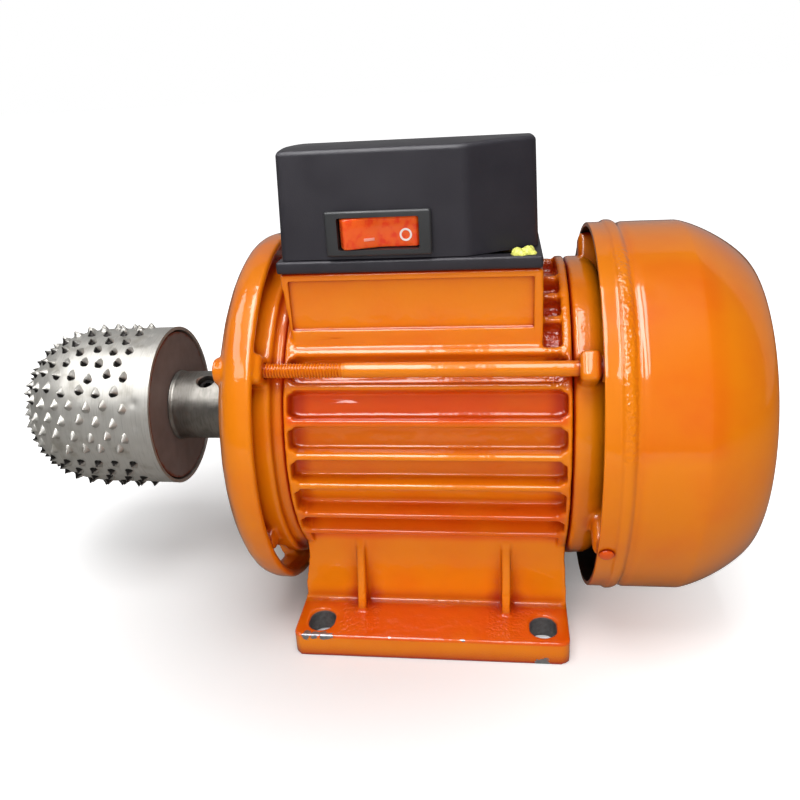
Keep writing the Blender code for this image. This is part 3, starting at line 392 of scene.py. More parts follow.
class Nodes:
    """A node tree and short ways to add to it."""

    def __init__(self, tree):
        self.tree = tree

    def node(self, kind, **settings):
        made = self.tree.nodes.new(kind)
        for key, value in settings.items():
            setattr(made, key, value)
        return made

    def link(self, output, socket):
        self.tree.links.new(output, socket)

    def ramp(self, value, low, high, first=0.0, last=1.0):
        node = self.node("ShaderNodeMapRange", interpolation_type="SMOOTHSTEP")
        for key, number in (("From Min", low), ("From Max", high), ("To Min", first), ("To Max", last)):
            node.inputs[key].default_value = number
        self.link(value, node.inputs["Value"])
        return node.outputs["Result"]

    def math(self, operation, *values):
        node = self.node("ShaderNodeMath", operation=operation)
        for socket, value in zip(node.inputs, values):
            if isinstance(value, (int, float)):
                socket.default_value = value
            else:
                self.link(value, socket)
        return node.outputs["Value"]

    def parts_of(self, vector):
        axes = self.node("ShaderNodeSeparateXYZ")
        self.link(vector, axes.inputs["Vector"])
        return axes.outputs

    def measure(self, operation, vector, other=(0.0, 0.0, 0.0)):
        """A vector operation between a socket and a fixed vector; a measured length is a number."""
        node = self.node("ShaderNodeVectorMath", operation=operation)
        self.link(vector, node.inputs[0])
        node.inputs[1].default_value = other
        return node.outputs["Value" if operation in ("LENGTH", "DISTANCE") else "Vector"]


class Shader(Nodes):
    """A Principled material and short ways to build its looks."""

    def __init__(self, name, colour, roughness, metallic=0.0):
        self.material = MATERIALS[name] = bpy.data.materials.new(name)
        self.material.use_nodes = True
        super().__init__(self.material.node_tree)
        self.bsdf = self.tree.nodes["Principled BSDF"]
        self.set("Base Color", (*colour, 1.0))
        self.set("Roughness", roughness)
        self.set("Metallic", metallic)
        self.place = self.node("ShaderNodeTexCoord").outputs["Object"]

    def set(self, socket, value):
        self.bsdf.inputs[socket].default_value = value

    def drive(self, socket, output):
        self.link(output, self.bsdf.inputs[socket])

    def show(self, tone, normal, roughness=None):
        self.drive("Base Color", tone)
        self.drive("Normal", normal)
        if roughness is not None:
            self.drive("Roughness", roughness)

    def scaled(self, scale):
        """The object's coordinates, stretched by a factor on each axis."""
        mapping = self.node("ShaderNodeMapping")
        mapping.inputs["Scale"].default_value = scale
        self.link(self.place, mapping.inputs["Vector"])
        return mapping.outputs["Vector"]

    def noise(self, size, detail=3.0, vector=None):
        """Noise whose features are about a size in millimetres."""
        texture = self.node("ShaderNodeTexNoise")
        texture.inputs["Scale"].default_value = 1.0 / (size * MM)
        texture.inputs["Detail"].default_value = detail
        self.link(vector or self.place, texture.inputs["Vector"])
        return texture.outputs["Fac"]

    def mix(self, amount, first, second):
        """Mix two colours; each is a colour tuple or a socket."""
        node = self.node("ShaderNodeMix", data_type="RGBA")
        self.link(amount, node.inputs[MIX_AMOUNT])
        for socket, value in ((node.inputs[MIX_FIRST], first), (node.inputs[MIX_SECOND], second)):
            if isinstance(value, tuple):
                socket.default_value = (*value, 1.0)
            else:
                self.link(value, socket)
        return node.outputs[MIX_RESULT]

    def bump(self, height, distance, strength=1.0, below=None):
        node = self.node("ShaderNodeBump")
        node.inputs["Strength"].default_value = strength
        node.inputs["Distance"].default_value = distance * MM
        self.link(height, node.inputs["Height"])
        if below is not None:
            self.link(below, node.inputs["Normal"])
        return node.outputs["Normal"]

    def attribute(self, name):
        return self.node("ShaderNodeAttribute", attribute_name=name).outputs["Fac"]

    def inside(self, low, high, edge=1.0):
        """1 inside a block between two corners in shaft measures, fading out over an edge."""
        share = None
        for axis, start, end in zip(self.parts_of(self.place), place(*low), place(*high)):
            for ramp in (self.ramp(axis, start, start + edge * MM),
                         self.ramp(axis, end - edge * MM, end, 1.0, 0.0)):
                share = ramp if share is None else self.math("MULTIPLY", share, ramp)
        return share

    def painted_corner_shade(self, reach):
        """Painted shade: 1 deep in a corner narrower than a reach in millimetres, and 0 in the open."""
        node = self.node("ShaderNodeAmbientOcclusion", samples=6)
        node.inputs["Distance"].default_value = reach * MM
        return self.ramp(node.outputs["AO"], DEEP_CORNER, OPEN_FACE, 1.0, 0.0)

    def near(self, centre, radius, wobble):
        """1 inside a ragged ball round a point in shaft measures, and 0 outside it."""
        distance = self.measure("DISTANCE", self.place, place(*centre))
        centred = self.math("SUBTRACT", wobble, 0.5)
        ragged = self.math("MULTIPLY_ADD", centred, radius * RAGGEDNESS * MM, distance)
        return self.math("LESS_THAN", ragged, radius * MM)


ENAMEL = (0.86, 0.225, 0.002)
ENAMEL_DEEP = (0.80, 0.120, 0.002)
# The dark red of the painted shade in corners
ENAMEL_CORNER_SHADE = (0.40, 0.020, 0.001)
# The darker enamel of the darkened blocks: painted shade, painted reflection and the cowl screws' colour
ENAMEL_DARKENED = (0.78, 0.085, 0.002)
CORNER_SHADE_REACH, BEAD_SIZE, BEAD_HEIGHT, BEAD_EDGE = 6.5, 1.5, 0.55, 2.5


def make_enamel(name, lumps, chips=(), beaded=(), darkened=()):
    """Thick glossy orange enamel, with painted shade in its corners. lumps is the height of its unevenness
    in millimetres, beaded lists the blocks where it has dried in small beads, and darkened those where its
    colour is made darker."""
    shader = Shader(name, ENAMEL, 0.34)
    broad = shader.noise(22.0, 3.0)
    tone = shader.mix(shader.ramp(broad, 0.4, 0.75, 0.0, 0.35), ENAMEL, ENAMEL_DEEP)
    shader.set("Specular IOR Level", 0.15)
    shader.set("Coat Weight", 1.0)
    shader.set("Coat Roughness", 0.035)
    shader.set("Coat IOR", 1.5)
    # Each list of darkened blocks says what it paints: painted shade, a painted reflection and the screws'
    # darker enamel
    for low, high, edge, share in darkened:
        ragged = shader.math("MULTIPLY", shader.inside(low, high, edge),
                             shader.ramp(broad, 0.25, 0.65, share * 0.6, share))
        tone = shader.mix(ragged, tone, ENAMEL_DARKENED)
    # Painted shade: corners and creases turn dark red by how shut in they are
    tone = shader.mix(shader.painted_corner_shade(CORNER_SHADE_REACH), tone, ENAMEL_CORNER_SHADE)
    fine = shader.bump(shader.noise(0.9, 2.0), 0.02 + lumps * 0.1, 0.5)
    uneven = shader.bump(shader.noise(4.5, 2.5), lumps, 1.0, fine)
    for low, high in beaded:
        centred = shader.math("SUBTRACT", shader.noise(BEAD_SIZE, 1.0), 0.5)
        beads = shader.math("MULTIPLY", shader.inside(low, high, BEAD_EDGE), centred)
        uneven = shader.bump(beads, BEAD_HEIGHT, 1.0, uneven)
    shader.drive("Normal", uneven)
    shader.drive("Coat Normal", uneven)
    if chips:
        wobble = shader.noise(1.6, 3.0)
        bare = None
        for centre, radius in chips:
            spot = shader.near(centre, radius, wobble)
            bare = spot if bare is None else shader.math("MAXIMUM", bare, spot)
        bare = shader.math("MAXIMUM", bare, shader.attribute("bare"))
        steel = shader.mix(shader.noise(1.2), (0.50, 0.52, 0.55), (0.20, 0.19, 0.19))
        tone = shader.mix(bare, tone, steel)
        shader.drive("Coat Weight", shader.math("SUBTRACT", 1.0, bare))
        shader.drive("Metallic", shader.math("MULTIPLY", bare, 0.85))
    shader.drive("Base Color", tone)


def make_plastic(name, colour, roughness, grain=0.5, depth=0.03, spread=0.25):
    """Moulded plastic with a fine grain and faint cloudy handling marks."""
    shader = Shader(name, colour, roughness)
    light = tuple(min(1.0, c * (1 + spread) + 0.002) for c in colour)
    cloudy = shader.mix(shader.noise(9.0, 4.0), colour, light)
    worn = shader.ramp(shader.noise(14.0, 3.0), 0.3, 0.7, roughness * 0.88, roughness * 1.15)
    shader.show(cloudy, shader.bump(shader.noise(grain, 2.0), depth), worn)


def make_metal(name, colour, roughness, stretch=(1.0, 1.0, 1.0), grain=0.6, depth=0.01, dirt=0.25):
    """Bare metal with a directional grain, patches of tarnish and uneven polish."""
    shader = Shader(name, colour, roughness, 1.0)
    grain_noise = shader.noise(grain, 3.0, shader.scaled(stretch))
    dark = tuple(c * (1 - dirt) for c in colour)
    patch = shader.mix(shader.ramp(shader.noise(6.0, 4.0), 0.4, 0.75), colour, dark)
    tone = shader.mix(shader.ramp(grain_noise, 0.45, 0.7, 0.0, 0.5), patch, dark)
    polish = shader.ramp(grain_noise, 0.3, 0.7, roughness * 0.8, roughness * 1.25)
    shader.show(tone, shader.bump(grain_noise, depth), polish)


def make_head_steel():
    """Satin steel sheet, brushed round the head, with painted shade in each tooth's open mouth."""
    shader = Shader("head_steel", (0.60, 0.585, 0.55), 0.38, 0.72)
    brushed = shader.noise(0.5, 3.0, shader.scaled((1.0, 0.06, 0.06)))
    stains = shader.ramp(shader.noise(7.0, 5.0), 0.5, 0.8)
    tone = shader.mix(stains, (0.56, 0.545, 0.51), (0.36, 0.335, 0.285))
    tone = shader.mix(shader.ramp(brushed, 0.5, 0.75, 0.0, 0.35), tone, (0.30, 0.29, 0.27))
    # Painted shade: the teeth's mouths go near black
    tone = shader.mix(shader.attribute("mouth_shade"), tone, (0.015, 0.013, 0.012))
    shader.show(tone, shader.bump(brushed, 0.012), shader.ramp(brushed, 0.3, 0.7, 0.38, 0.52))


def make_disc_iron():
    """Brown-grey plate that rusts towards its edge."""
    shader = Shader("disc_iron", (0.24, 0.21, 0.20), 0.55, 0.3)
    across = shader.measure("MULTIPLY", shader.measure("SUBTRACT", shader.place, place(0, 0, 0)), (0, 1, 1))
    ragged = shader.math("MULTIPLY_ADD", shader.noise(3.0, 4.0), 2.4 * MM, shader.measure("LENGTH", across))
    edge = shader.ramp(ragged, (HEAD_R - 1.6) * MM, (HEAD_R - 0.2) * MM)
    face = shader.mix(shader.noise(5.0, 5.0), (0.27, 0.235, 0.225), (0.18, 0.15, 0.145))
    shader.show(shader.mix(edge, face, (0.22, 0.045, 0.012)), shader.bump(shader.noise(0.7, 4.0), 0.03))


def make_rocker_red():
    """Red-orange plastic that lets a little light in."""
    shader = Shader("rocker_red", (0.90, 0.085, 0.008), 0.22)
    shader.set("Subsurface Weight", 0.35)
    shader.set("Subsurface Radius", (1.0, 0.25, 0.08))
    shader.set("Subsurface Scale", 1.2 * MM)
    shader.set("Coat Weight", 0.6)
    shader.set("Coat Roughness", 0.05)
    cloudy = shader.ramp(shader.noise(2.6, 3.0), 0.4, 0.7)
    tone = shader.mix(cloudy, (0.92, 0.12, 0.01), (0.85, 0.045, 0.006))
    shader.show(tone, shader.bump(shader.noise(2.0, 2.0), 0.03))


FOOT_CHIPS = [((-44.0 + 3.1 * i, -63.3, -62.6), 1.9) for i in range(3)]
FOOT_CHIPS += [((-35.5, -63.3, -62.4), 1.3), ((39.5, -63.4, -71.0), 2.2), ((-14.0, -63.4, -62.4), 0.8),
               ((12.0, -63.4, -62.4), 0.7), ((-47.0, 63.2, -62.5), 1.6), ((30.0, 63.3, -62.6), 1.4)]

# Blocks, by their low and high corners, where the enamel is rough
ROUGH_CASTING = [((38.5, -60.0, 22.0), (47.5, 60.0, 62.0)), ((-34.0, -66.0, -63.5), (-18.0, -42.0, -52.0)),
                 ((19.0, -66.0, -63.5), (46.0, -42.0, -52.0))]
ROUGH_BEAD = [((60.8, -72.0, 8.0), (67.5, 72.0, 66.0))]

# Blocks where the enamel is made darker, each with the width of its edge and its strength: painted shade
# on the foot's top under the barrel and in the highest open valley and the low ones, then the cowl screws
# and a band of the cowl
SHADED_CASTING = [((-60.0, -66.0, -64.0), (60.0, -44.0, -60.9), 0.9, 0.9),
                  ((-46.0, -60.0, 14.5), (48.0, -42.0, 26.0), 2.5, 0.9),
                  ((-46.0, -60.0, -37.0), (48.0, -36.0, -14.0), 3.0, 0.75)]
# The cowl screws' enamel is darker all over
DARKER_SCREW_ENAMEL = [((50.0, -80.0, -80.0), (70.0, 80.0, 80.0), 1.0, 1.0)]
# Painted reflection: a dark panel's reflection darkens a band of the cowl's near side
COWL_PANEL_REFLECTION = [((64.5, -74.0, 8.0), (95.0, -3.0, 64.0), 6.0, 0.35)]

make_enamel("frame_enamel", 0.16, FOOT_CHIPS, ROUGH_CASTING, SHADED_CASTING)
make_enamel("cast_enamel", 0.14)
make_enamel("sheet_enamel", 0.03, beaded=ROUGH_BEAD, darkened=COWL_PANEL_REFLECTION)
make_enamel("orange_enamel", 0.08)
make_enamel("screw_enamel", 0.14, darkened=DARKER_SCREW_ENAMEL)
make_plastic("black_plastic", (0.022, 0.020, 0.026), 0.42, grain=0.35)
make_plastic("switch_plastic", (0.032, 0.033, 0.035), 0.36, grain=0.3, depth=0.02)
# Painted shade: near-black plastic for the cowl's inner faces
make_plastic("shaded_cowl_inside", (0.012, 0.010, 0.009), 0.55, grain=1.2, depth=0.06)
make_head_steel()
make_metal("hub_steel", (0.30, 0.285, 0.26), 0.42, (1.0, 0.15, 0.15), dirt=0.35)
make_disc_iron()
make_metal("bright_steel", (0.60, 0.60, 0.60), 0.30, (1.0, 0.1, 0.1))
make_metal("lamination_steel", (0.28, 0.29, 0.31), 0.45, (12.0, 0.2, 0.2), dirt=0.5)
make_metal("cast_aluminium", (0.62, 0.62, 0.63), 0.45, grain=1.5, depth=0.05)
make_metal("copper_winding", (0.60, 0.20, 0.06), 0.32, (0.2, 3.0, 3.0), grain=1.2, depth=0.25)
make_plastic("fan_plastic", (0.016, 0.016, 0.018), 0.48)
make_rocker_red()
make_plastic("seal_rubber", (0.015, 0.015, 0.015), 0.7, grain=0.8)
make_metal("brass_terminal", (0.70, 0.50, 0.20), 0.32)
make_plastic("capacitor_can", (0.78, 0.78, 0.76), 0.38)
make_plastic("sealant_yellow", (0.80, 0.80, 0.16), 0.42, grain=1.5, depth=0.2)
make_metal("black_steel", (0.05, 0.05, 0.05), 0.40)
make_plastic("mark_white", (0.85, 0.72, 0.68), 0.35, depth=0.01)
make_plastic("mark_pink", (0.80, 0.30, 0.24), 0.35, depth=0.01)


# ---------------------------------------------------------------- motor casting and shields

def neck_cheek(name, top_start, top_end, bottom_start, bottom_end):
    """A leaning slab on one end of the neck, wider at the top."""
    loops = []
    for height, start, end in ((32.0, bottom_start, bottom_end), (NECK_TOP, top_start, top_end)):
        loops.append([place(a, y, height) for a, y in ((start, -NECK_HALF_Y), (end, -NECK_HALF_Y),
                                                       (end, NECK_HALF_Y), (start, NECK_HALF_Y))])
    return lofted(name, loops)


def fin_pockets(start, end):
    """Cutters that open the space between two fins out to the frame's end."""
    pockets = []
    for lower, upper in zip(FIN_ANGLES[1:], FIN_ANGLES):
        if upper - lower < 16:
            for first, last in ((lower + 2.3, upper - 2.3), (182.3 - upper, 177.7 - lower)):
                pockets.append(sector("pocket", first, last, BARREL_R, FIN_R + 3.0, start, end))
    return join_objects("fin_pockets", pockets)


def make_motor_frame():
    skin = copy_of("motor_frame", "frame_copy")
    carve(skin, fin_pockets(FRAME_FRONT + 1.4, FRAME_FRONT + 5.0),
          fin_pockets(FRAME_REAR - 5.0, FRAME_REAR - 1.4))
    cheeks = [neck_cheek("front_cheek", -45.4, -41.5, -42.6, -39.0),
              neck_cheek("rear_cheek", 34.0, 38.7, 35.0, 39.0)]
    short_fins = [lug("short_fin", a, 48.0, 55.0, 2.6, 36.0, 46.0, 0.4)
                  for a in (54.0, 65.0, 76.0, 104.0, 115.0, 126.0)]
    casting = fused("frame_casting", [skin, *cheeks, *short_fins], 0.62, smooth=3, keep=0.19)
    carve(casting, box("panel_recess", (-42.9, -42.4, 43.9), (36.0, -38.6, 60.6), 0.5))
    lump(casting, 0.10, 5.0, seed=3.0)
    lump(casting, 0.45, 2.2, seed=5.0, where=behind_the_neck)
    mesh = casting.data
    bare = mesh.attributes.new("bare", "FLOAT", "POINT")
    co = vertices_of(mesh)
    along, across = np.abs(co[:, 0]) - SLOT_X, np.abs(co[:, 1]) - SLOT_Y
    in_slot = (np.abs(along) < 5.3) & (np.abs(across) < 6.6)
    in_plate = co[:, 2] < -SHAFT_HEIGHT + FOOT_THICK - 0.9
    bare.data.foreach_set("value", (in_slot & in_plate).astype(np.float32))
    finish_piece(casting, "motor", "frame_enamel", "motor_frame")


def behind_the_neck(co):
    """1 on the strip of barrel between the neck and the rear ring, where the casting is rough."""
    along, height = (co[:, 0] - MIDDLE_X) / MM, (co[:, 2] - AXIS_Z) / MM
    return ((along > 39.5) & (along < 44.5) & (height > 30.0)).astype(float)


def lug(name, angle, inner, outer, width, start, end, round_by=1.6):
    """A block that stands out from the shaft at an angle, between two distances from its axis."""
    return box(name, (start, -width / 2, inner), (end, width / 2, outer), round_by, 3,
               about_shaft(90 - angle))


def sector(name, first, last, inner, outer, start, end, steps=12):
    """A slab between two angles and two radii, for cutting windows."""
    loops = []
    for along in (start, end):
        loop = []
        for radius, order in ((outer, range(steps + 1)), (inner, range(steps, -1, -1))):
            for k in order:
                loop.append(place(*round_shaft(along, first + (last - first) * k / steps, radius)))
        loops.append(loop)
    return lofted(name, loops)


def bolt_holes(start, end, radius):
    return [shaft_bar("hole", a, BOLT_CIRCLE_R, start, end, radius) for a in BOLT_ANGLES]


def make_front_shield():
    outline = [(-53.2, 67.7), (-58.9, 67.7), (-63.0, 65.8), (-66.6, 60.4), (-69.6, 48.0), (-76.8, 20.0),
               (-77.6, 14.4), (-79.2, 14.2), (-79.2, 11.0), (-75.0, 11.0), (-75.0, 8.6), (-74.0, 8.6),
               (-74.0, 17.8), (-62.2, 17.8), (-62.2, 21.5), (-71.4, 21.5), (-64.0, 50.8), (-46.3, 50.8),
               (-46.3, 54.8), (-49.9, 54.8), (-49.9, 57.8), (-61.4, 57.8), (-60.6, 61.4), (-57.4, 64.4),
               (-53.2, 64.7)]
    dish = turned_part("dish", outline, 2.6, 5, 2.5, 200)
    carve(dish, *[sector("window", a, b, 55.4, 63.6, -70.0, -55.0) for a, b in ((-76, -42), (222, 256))])
    parts = [lug("lug", a, 53.5, 65.5, 10.0, -62.5, -51.0) for a in BOLT_ANGLES]
    parts += [shaft_bar("bolt_boss", a, 60.5, -67.6, -60.0, 4.4) for a in BOLT_ANGLES]
    parts += [shaft_bar("boss", a, 59.0, -63.0, -54.5, 4.2) for a in (-30.0, 210.0)]
    shield = fused("front_shield_casting", [dish, *parts], 0.62, smooth=5, keep=0.5)
    pin_hole = shaft_bar("pin_hole", 28.6, 60.5, -55.0, -48.0, 1.1, 16)
    carve(shield, *bolt_holes(-58.6, -45.0, 2.75), pin_hole)
    lump(shield, 0.10, 6.0, seed=9.0)
    finish_piece(shield, "motor", "cast_enamel", "front_end_shield", sharp=60)


def make_rear_shield():
    outline = [(48.3, 56.0), (55.0, 56.0), (58.0, 54.5), (66.0, 41.0), (74.0, 24.5), (79.0, 22.5),
               (79.0, 8.8), (77.3, 8.8), (77.3, 17.8), (65.0, 17.8), (65.0, 21.3), (69.2, 23.5),
               (62.0, 38.0), (54.5, 50.2), (48.3, 50.8)]
    bell = turned_part("bell", outline, 1.6, 4, 3.0, 160)
    parts = [lug("lug", a, 53.0, 65.5, 10.0, 49.5, 56.0) for a in BOLT_ANGLES]
    parts += [lug("ear", a, 46.5, COVER_R - COVER_WALL - 0.4, 9.0, COVER_SCREW_X - 4, COVER_SCREW_X + 4)
              for a in COVER_SCREW_ANGLES]
    shield = fused("rear_shield_casting", [bell, *parts], 0.85, smooth=4, keep=0.5)
    carve(shield, *bolt_holes(45.0, 60.0, 2.75))
    lump(shield, 0.10, 6.0, seed=14.0)
    finish_piece(shield, "motor", "cast_enamel", "rear_end_shield", sharp=60)


def make_tie_bolt(number, angle):
    """A long bolt, threaded on its front third, with paint half filling the thread."""
    start, end, thread_end, pitch, around = -58.0, 57.0, -24.0, 1.0, 28
    rings, along = [], start
    while along <= end:
        ring = []
        for k in range(around):
            turn = math.tau * k / around
            radius = BOLT_R
            if along < thread_end:
                wave = 0.5 + 0.5 * math.cos(math.tau * (along / pitch - k / around))
                fade = min(1.0, (thread_end - along) / 2.0)
                radius -= 0.42 * fade * wave
            ring.append((along * MM, radius * MM * math.cos(turn), radius * MM * math.sin(turn)))
        rings.append(ring)
        along += 0.25 if along < thread_end else 2.3
    bolt_at = Matrix.Translation(place(*round_shaft(0.0, angle, BOLT_CIRCLE_R)))
    bolt = lofted(f"painted_tie_bolt_{number}", rings, bolt_at)
    head = bmesh.new()
    bmesh.ops.create_cone(head, cap_ends=True, segments=6, radius1=4.5 * MM, radius2=4.5 * MM,
                          depth=3.4 * MM)
    round_edges(head, 0.4, 2)
    head_at = Matrix.Translation(place(*round_shaft(58.05, angle, BOLT_CIRCLE_R)))
    weld(bolt, as_object("head", head, head_at @ Matrix.Rotation(math.pi / 2, 4, "Y")))
    finish_piece(bolt, "motor", "cast_enamel", f"tie_bolt_{number}", sharp=40)


# ---------------------------------------------------------------- fan cover

def shoulder(inset, start, back, steps):
    points = []
    for i in range(steps + 1):
        turn = math.pi / 2 * i / steps
        power = 2 / SHOULDER_POWER
        points.append((start + (back - start) * math.sin(turn) ** power,
                       COVER_BACK_R - inset + (COVER_R - COVER_BACK_R) * math.cos(turn) ** power))
    return points


def use_second_material(mesh, chosen):
    """Give the faces that a test picks by centre and normal the mesh's second material."""
    centres = (read(mesh.polygons, "center") - CENTRE) / MM
    picked = chosen(centres, read(mesh.polygons, "normal"))
    mesh.polygons.foreach_set("material_index", picked.astype(np.int32))


def cowl_faces_inside(centres, normals):
    """Which faces look into the cowl, on its wall or on its back."""
    radius, _ = polar(centres)
    looks_in = -0.4
    outward = (normals[:, 1] * centres[:, 1] + normals[:, 2] * centres[:, 2]) / np.maximum(radius, 1.0)
    on_wall = (radius > COVER_BACK_R - 8) & (outward - 0.3 * normals[:, 0] < looks_in)
    on_back = (centres[:, 0] > COVER_BACK - 10) & (normals[:, 0] < looks_in)
    return on_wall | on_back


def make_fan_cover():
    band = [(COVER_FRONT, COVER_R - 0.7), (COVER_FRONT, COVER_R), (61.2, COVER_R), (62.3, COVER_R + 0.75),
            (64.7, COVER_R + 0.75), (66.2, COVER_R - 0.5), (67.2, COVER_R - 0.5), (68.6, COVER_R)]
    outside = spaced(rounded(band, 0.9, 4, closed=False), 1.2, closed=False)
    outside += spaced([(70.0, COVER_R), (SHOULDER_START - 1.0, COVER_R)], 2.0, closed=False)
    outside += shoulder(0.0, SHOULDER_START, COVER_BACK, 22)
    outside += [(COVER_BACK, COVER_BACK_R - 3.5 * k) for k in range(1, 15)] + [(COVER_BACK, 0.0)]
    inside = [(COVER_FRONT, COVER_R - COVER_WALL), (70.0, COVER_R - COVER_WALL)]
    inside += shoulder(COVER_WALL, SHOULDER_START - 0.5, COVER_BACK - COVER_WALL, 12)
    inside += [(COVER_BACK - COVER_WALL, 0.0)]
    cover = revolved("fan_cowl", outside[::-1] + inside, 192, closed=False)
    slots = [box("slot", (COVER_BACK - 6, -GRILLE_WIDTH / 2, GRILLE_INNER_R),
                 (COVER_BACK + 4, GRILLE_WIDTH / 2, GRILLE_OUTER_R), 2.0, 4,
                 about_shaft(360 * i / GRILLE_SLOTS)) for i in range(GRILLE_SLOTS)]
    holes = [spoke_bar("hole", COVER_SCREW_X, a, 60.0, 75.0, 1.9) for a in COVER_SCREW_ANGLES]
    carve(cover, join_objects("grille_slots", slots), *holes)
    shape_cowl_skin(cover.data)
    # The cowl's inner faces get the near-black painted shade
    finish_piece(cover, "motor", "sheet_enamel", "fan_cover", sharp=40, inner_look="shaded_cowl_inside")
    use_second_material(cover.data, cowl_faces_inside)


def shape_cowl_skin(mesh):
    """Paint runs under the cowl, a small dent on its near side, and a bead that isn't quite even."""
    co = vertices_of(mesh)
    radius, turn = polar(co)
    skin = (radius > COVER_R - 1.0) & (co[:, 0] < 88)
    push = np.zeros(len(co))
    for along, where, height, size in ((60.5, -92.0, 0.7, 1.6), (78.0, -96.0, 0.6, 2.0),
                                       (72.6, 54.5, -0.3, 1.3)):
        arc = (turn - math.radians(where)) * radius
        push += height * np.exp(-((co[:, 0] - along) ** 2 + arc ** 2) / size ** 2)
    near_bead = np.exp(-((co[:, 0] - 63.0) / 4.0) ** 2)
    waves = np.array([noise.noise(Vector((a * 0.12, b * 0.09, 3.0)))
                      for a, b in zip(co[:, 0], turn * COVER_R)])
    push += waves * (0.05 + 0.22 * near_bead)
    push_outward(co, push * skin)
    put_vertices(mesh, co)


def make_cowl_screw(number, angle):
    """A painted-over round-head screw; its half-filled slot is not drawn."""
    start = 56.0
    origin = place(*round_shaft(COVER_SCREW_X, angle, start))
    foot = COVER_R + GAP - start
    profile = [(0.0, 0.0), (0.0, 1.4), (foot, 1.4), (foot, 2.4), (foot + 0.5, 2.4), (foot + 1.2, 1.6),
               (foot + 1.35, 0.0)]
    screw = revolved(f"cowl_screw_{number}", rounded(profile, 0.5, 3, closed=False), 32,
                     axis_at(origin, round_shaft(0.0, angle, 1.0)), closed=False)
    finish_piece(screw, "motor", "screw_enamel", f"fan_cover_screw_{number}", sharp=50)


# ---------------------------------------------------------------- switch box

def box_outline(inset):
    """The cover seen from above, drawn in by an amount. Both of its fan-side corners are cut off."""
    half, start = BOX_HALF_Y, CHAMFER_START
    corners = [(BOX_FRONT, -half), (start, -half), (BOX_REAR, -half + CHAMFER_DEPTH),
               (BOX_REAR, half - CHAMFER_DEPTH), (start, half), (BOX_FRONT, half)]
    middle, half_x = (BOX_FRONT + BOX_REAR) / 2, (BOX_REAR - BOX_FRONT) / 2
    return [(middle + (along - middle) * (1 - inset / half_x), y * (1 - inset / half))
            for along, y in spaced(rounded(corners, 2.2, 5), 3.0)]


def lid_height(y):
    """The lid's crown: highest near its front edge, then falling gently to the back."""
    behind = y - LID_CREST_Y
    if behind < 0:
        return LID_CREST - LID_FRONT_CURVE * behind ** 2
    return LID_CREST - LID_BACK_CURVE * behind ** 2 - LID_FALL * behind


def box_form(name, inset, bottom, drop):
    """Drafted walls up to a crowned lid with a rolled edge, as one closed skin."""
    lean = BOX_DRAFT * (LID_CREST - BOX_BOTTOM)
    loops = [[(a, y, bottom) for a, y in box_outline(inset)]]
    for part in (0.25, 0.5, 0.75):
        loops.append([(a, y, bottom + part * (lid_height(y) - drop - EDGE_ROLL - bottom))
                      for a, y in box_outline(inset + lean * part)])
    for step in range(9):
        turn = math.pi / 2 * step / 8
        step_in, below = EDGE_ROLL * (1 - math.cos(turn)), EDGE_ROLL * (1 - math.sin(turn))
        loops.append([(a, y, lid_height(y) - drop - below) for a, y in box_outline(inset + lean + step_in)])
    for step_in in (8.0, 14.0, 20.0, 26.0, 32.0):
        loops.append([(a, y, lid_height(y) - drop) for a, y in box_outline(inset + lean + step_in)])
    return lofted(name, [[place(*point) for point in loop] for loop in loops])


def switch_block(name, half_x, half_z, front, back, round_by=0.0, segments=3):
    """A block centred on the switch, between two depths counted from the cover's near face."""
    return box(name, (SWITCH_X - half_x, front - BOX_HALF_Y, SWITCH_Z - half_z),
               (SWITCH_X + half_x, back - BOX_HALF_Y, SWITCH_Z + half_z), round_by, segments)


def make_switch_box_cover():
    cover = box_form("box_cover", 0.0, BOX_BOTTOM, 0.0)
    hollow = box_form("hollow", BOX_WALL, BOX_BOTTOM - 5.0, BOX_WALL)
    carve(cover, hollow, switch_block("window", 14.6, 5.9, -4.0, 5.0))
    for x, y in COVER_SCREW_PLACES:
        lid = lid_height(y)
        weld(cover, bar("post", (x, y, TRAY_TOP + 6), (x, y, lid - 1.0), 4.2))
        carve(cover, bar("bore", (x, y, 60), (x, y, lid + 5), 1.9),
              bar("recess", (x, y, lid - 5), (x, y, lid + 5), 3.2))
    weld(cover, box("nub", (25.2, -29.4, 97.3), (26.6, -27.6, 99.2), 0.4))
    finish_piece(cover, "motor", "black_plastic", "switch_box_cover", sharp=35)


def make_switch_box_tray():
    tray = box("box_tray", (TRAY_FRONT, -TRAY_HALF_Y, TRAY_BOTTOM),
               (TRAY_REAR, TRAY_HALF_Y, TRAY_TOP), 0.9, 4)
    pocket = box("pocket", (BOX_FRONT + 3, -BOX_HALF_Y + 3, TRAY_BOTTOM + 2.2),
                 (BOX_REAR - 3, BOX_HALF_Y - 3, TRAY_TOP + 5), 1.0)
    carve(tray, pocket)
    for x, y in COVER_SCREW_PLACES:
        weld(tray, bar("boss", (x, y, TRAY_BOTTOM + 1), (x, y, TRAY_TOP + 5.6), 4.2))
        carve(tray, bar("tap", (x, y, TRAY_BOTTOM + 2), (x, y, TRAY_TOP + 9), 1.9))
    for spot, radius in TRAY_HOLES:
        carve(tray, bar("hole", (*spot, TRAY_BOTTOM - 3), (*spot, TRAY_TOP + 3), radius))
    finish_piece(tray, "motor", "black_plastic", "switch_box_tray", sharp=35)


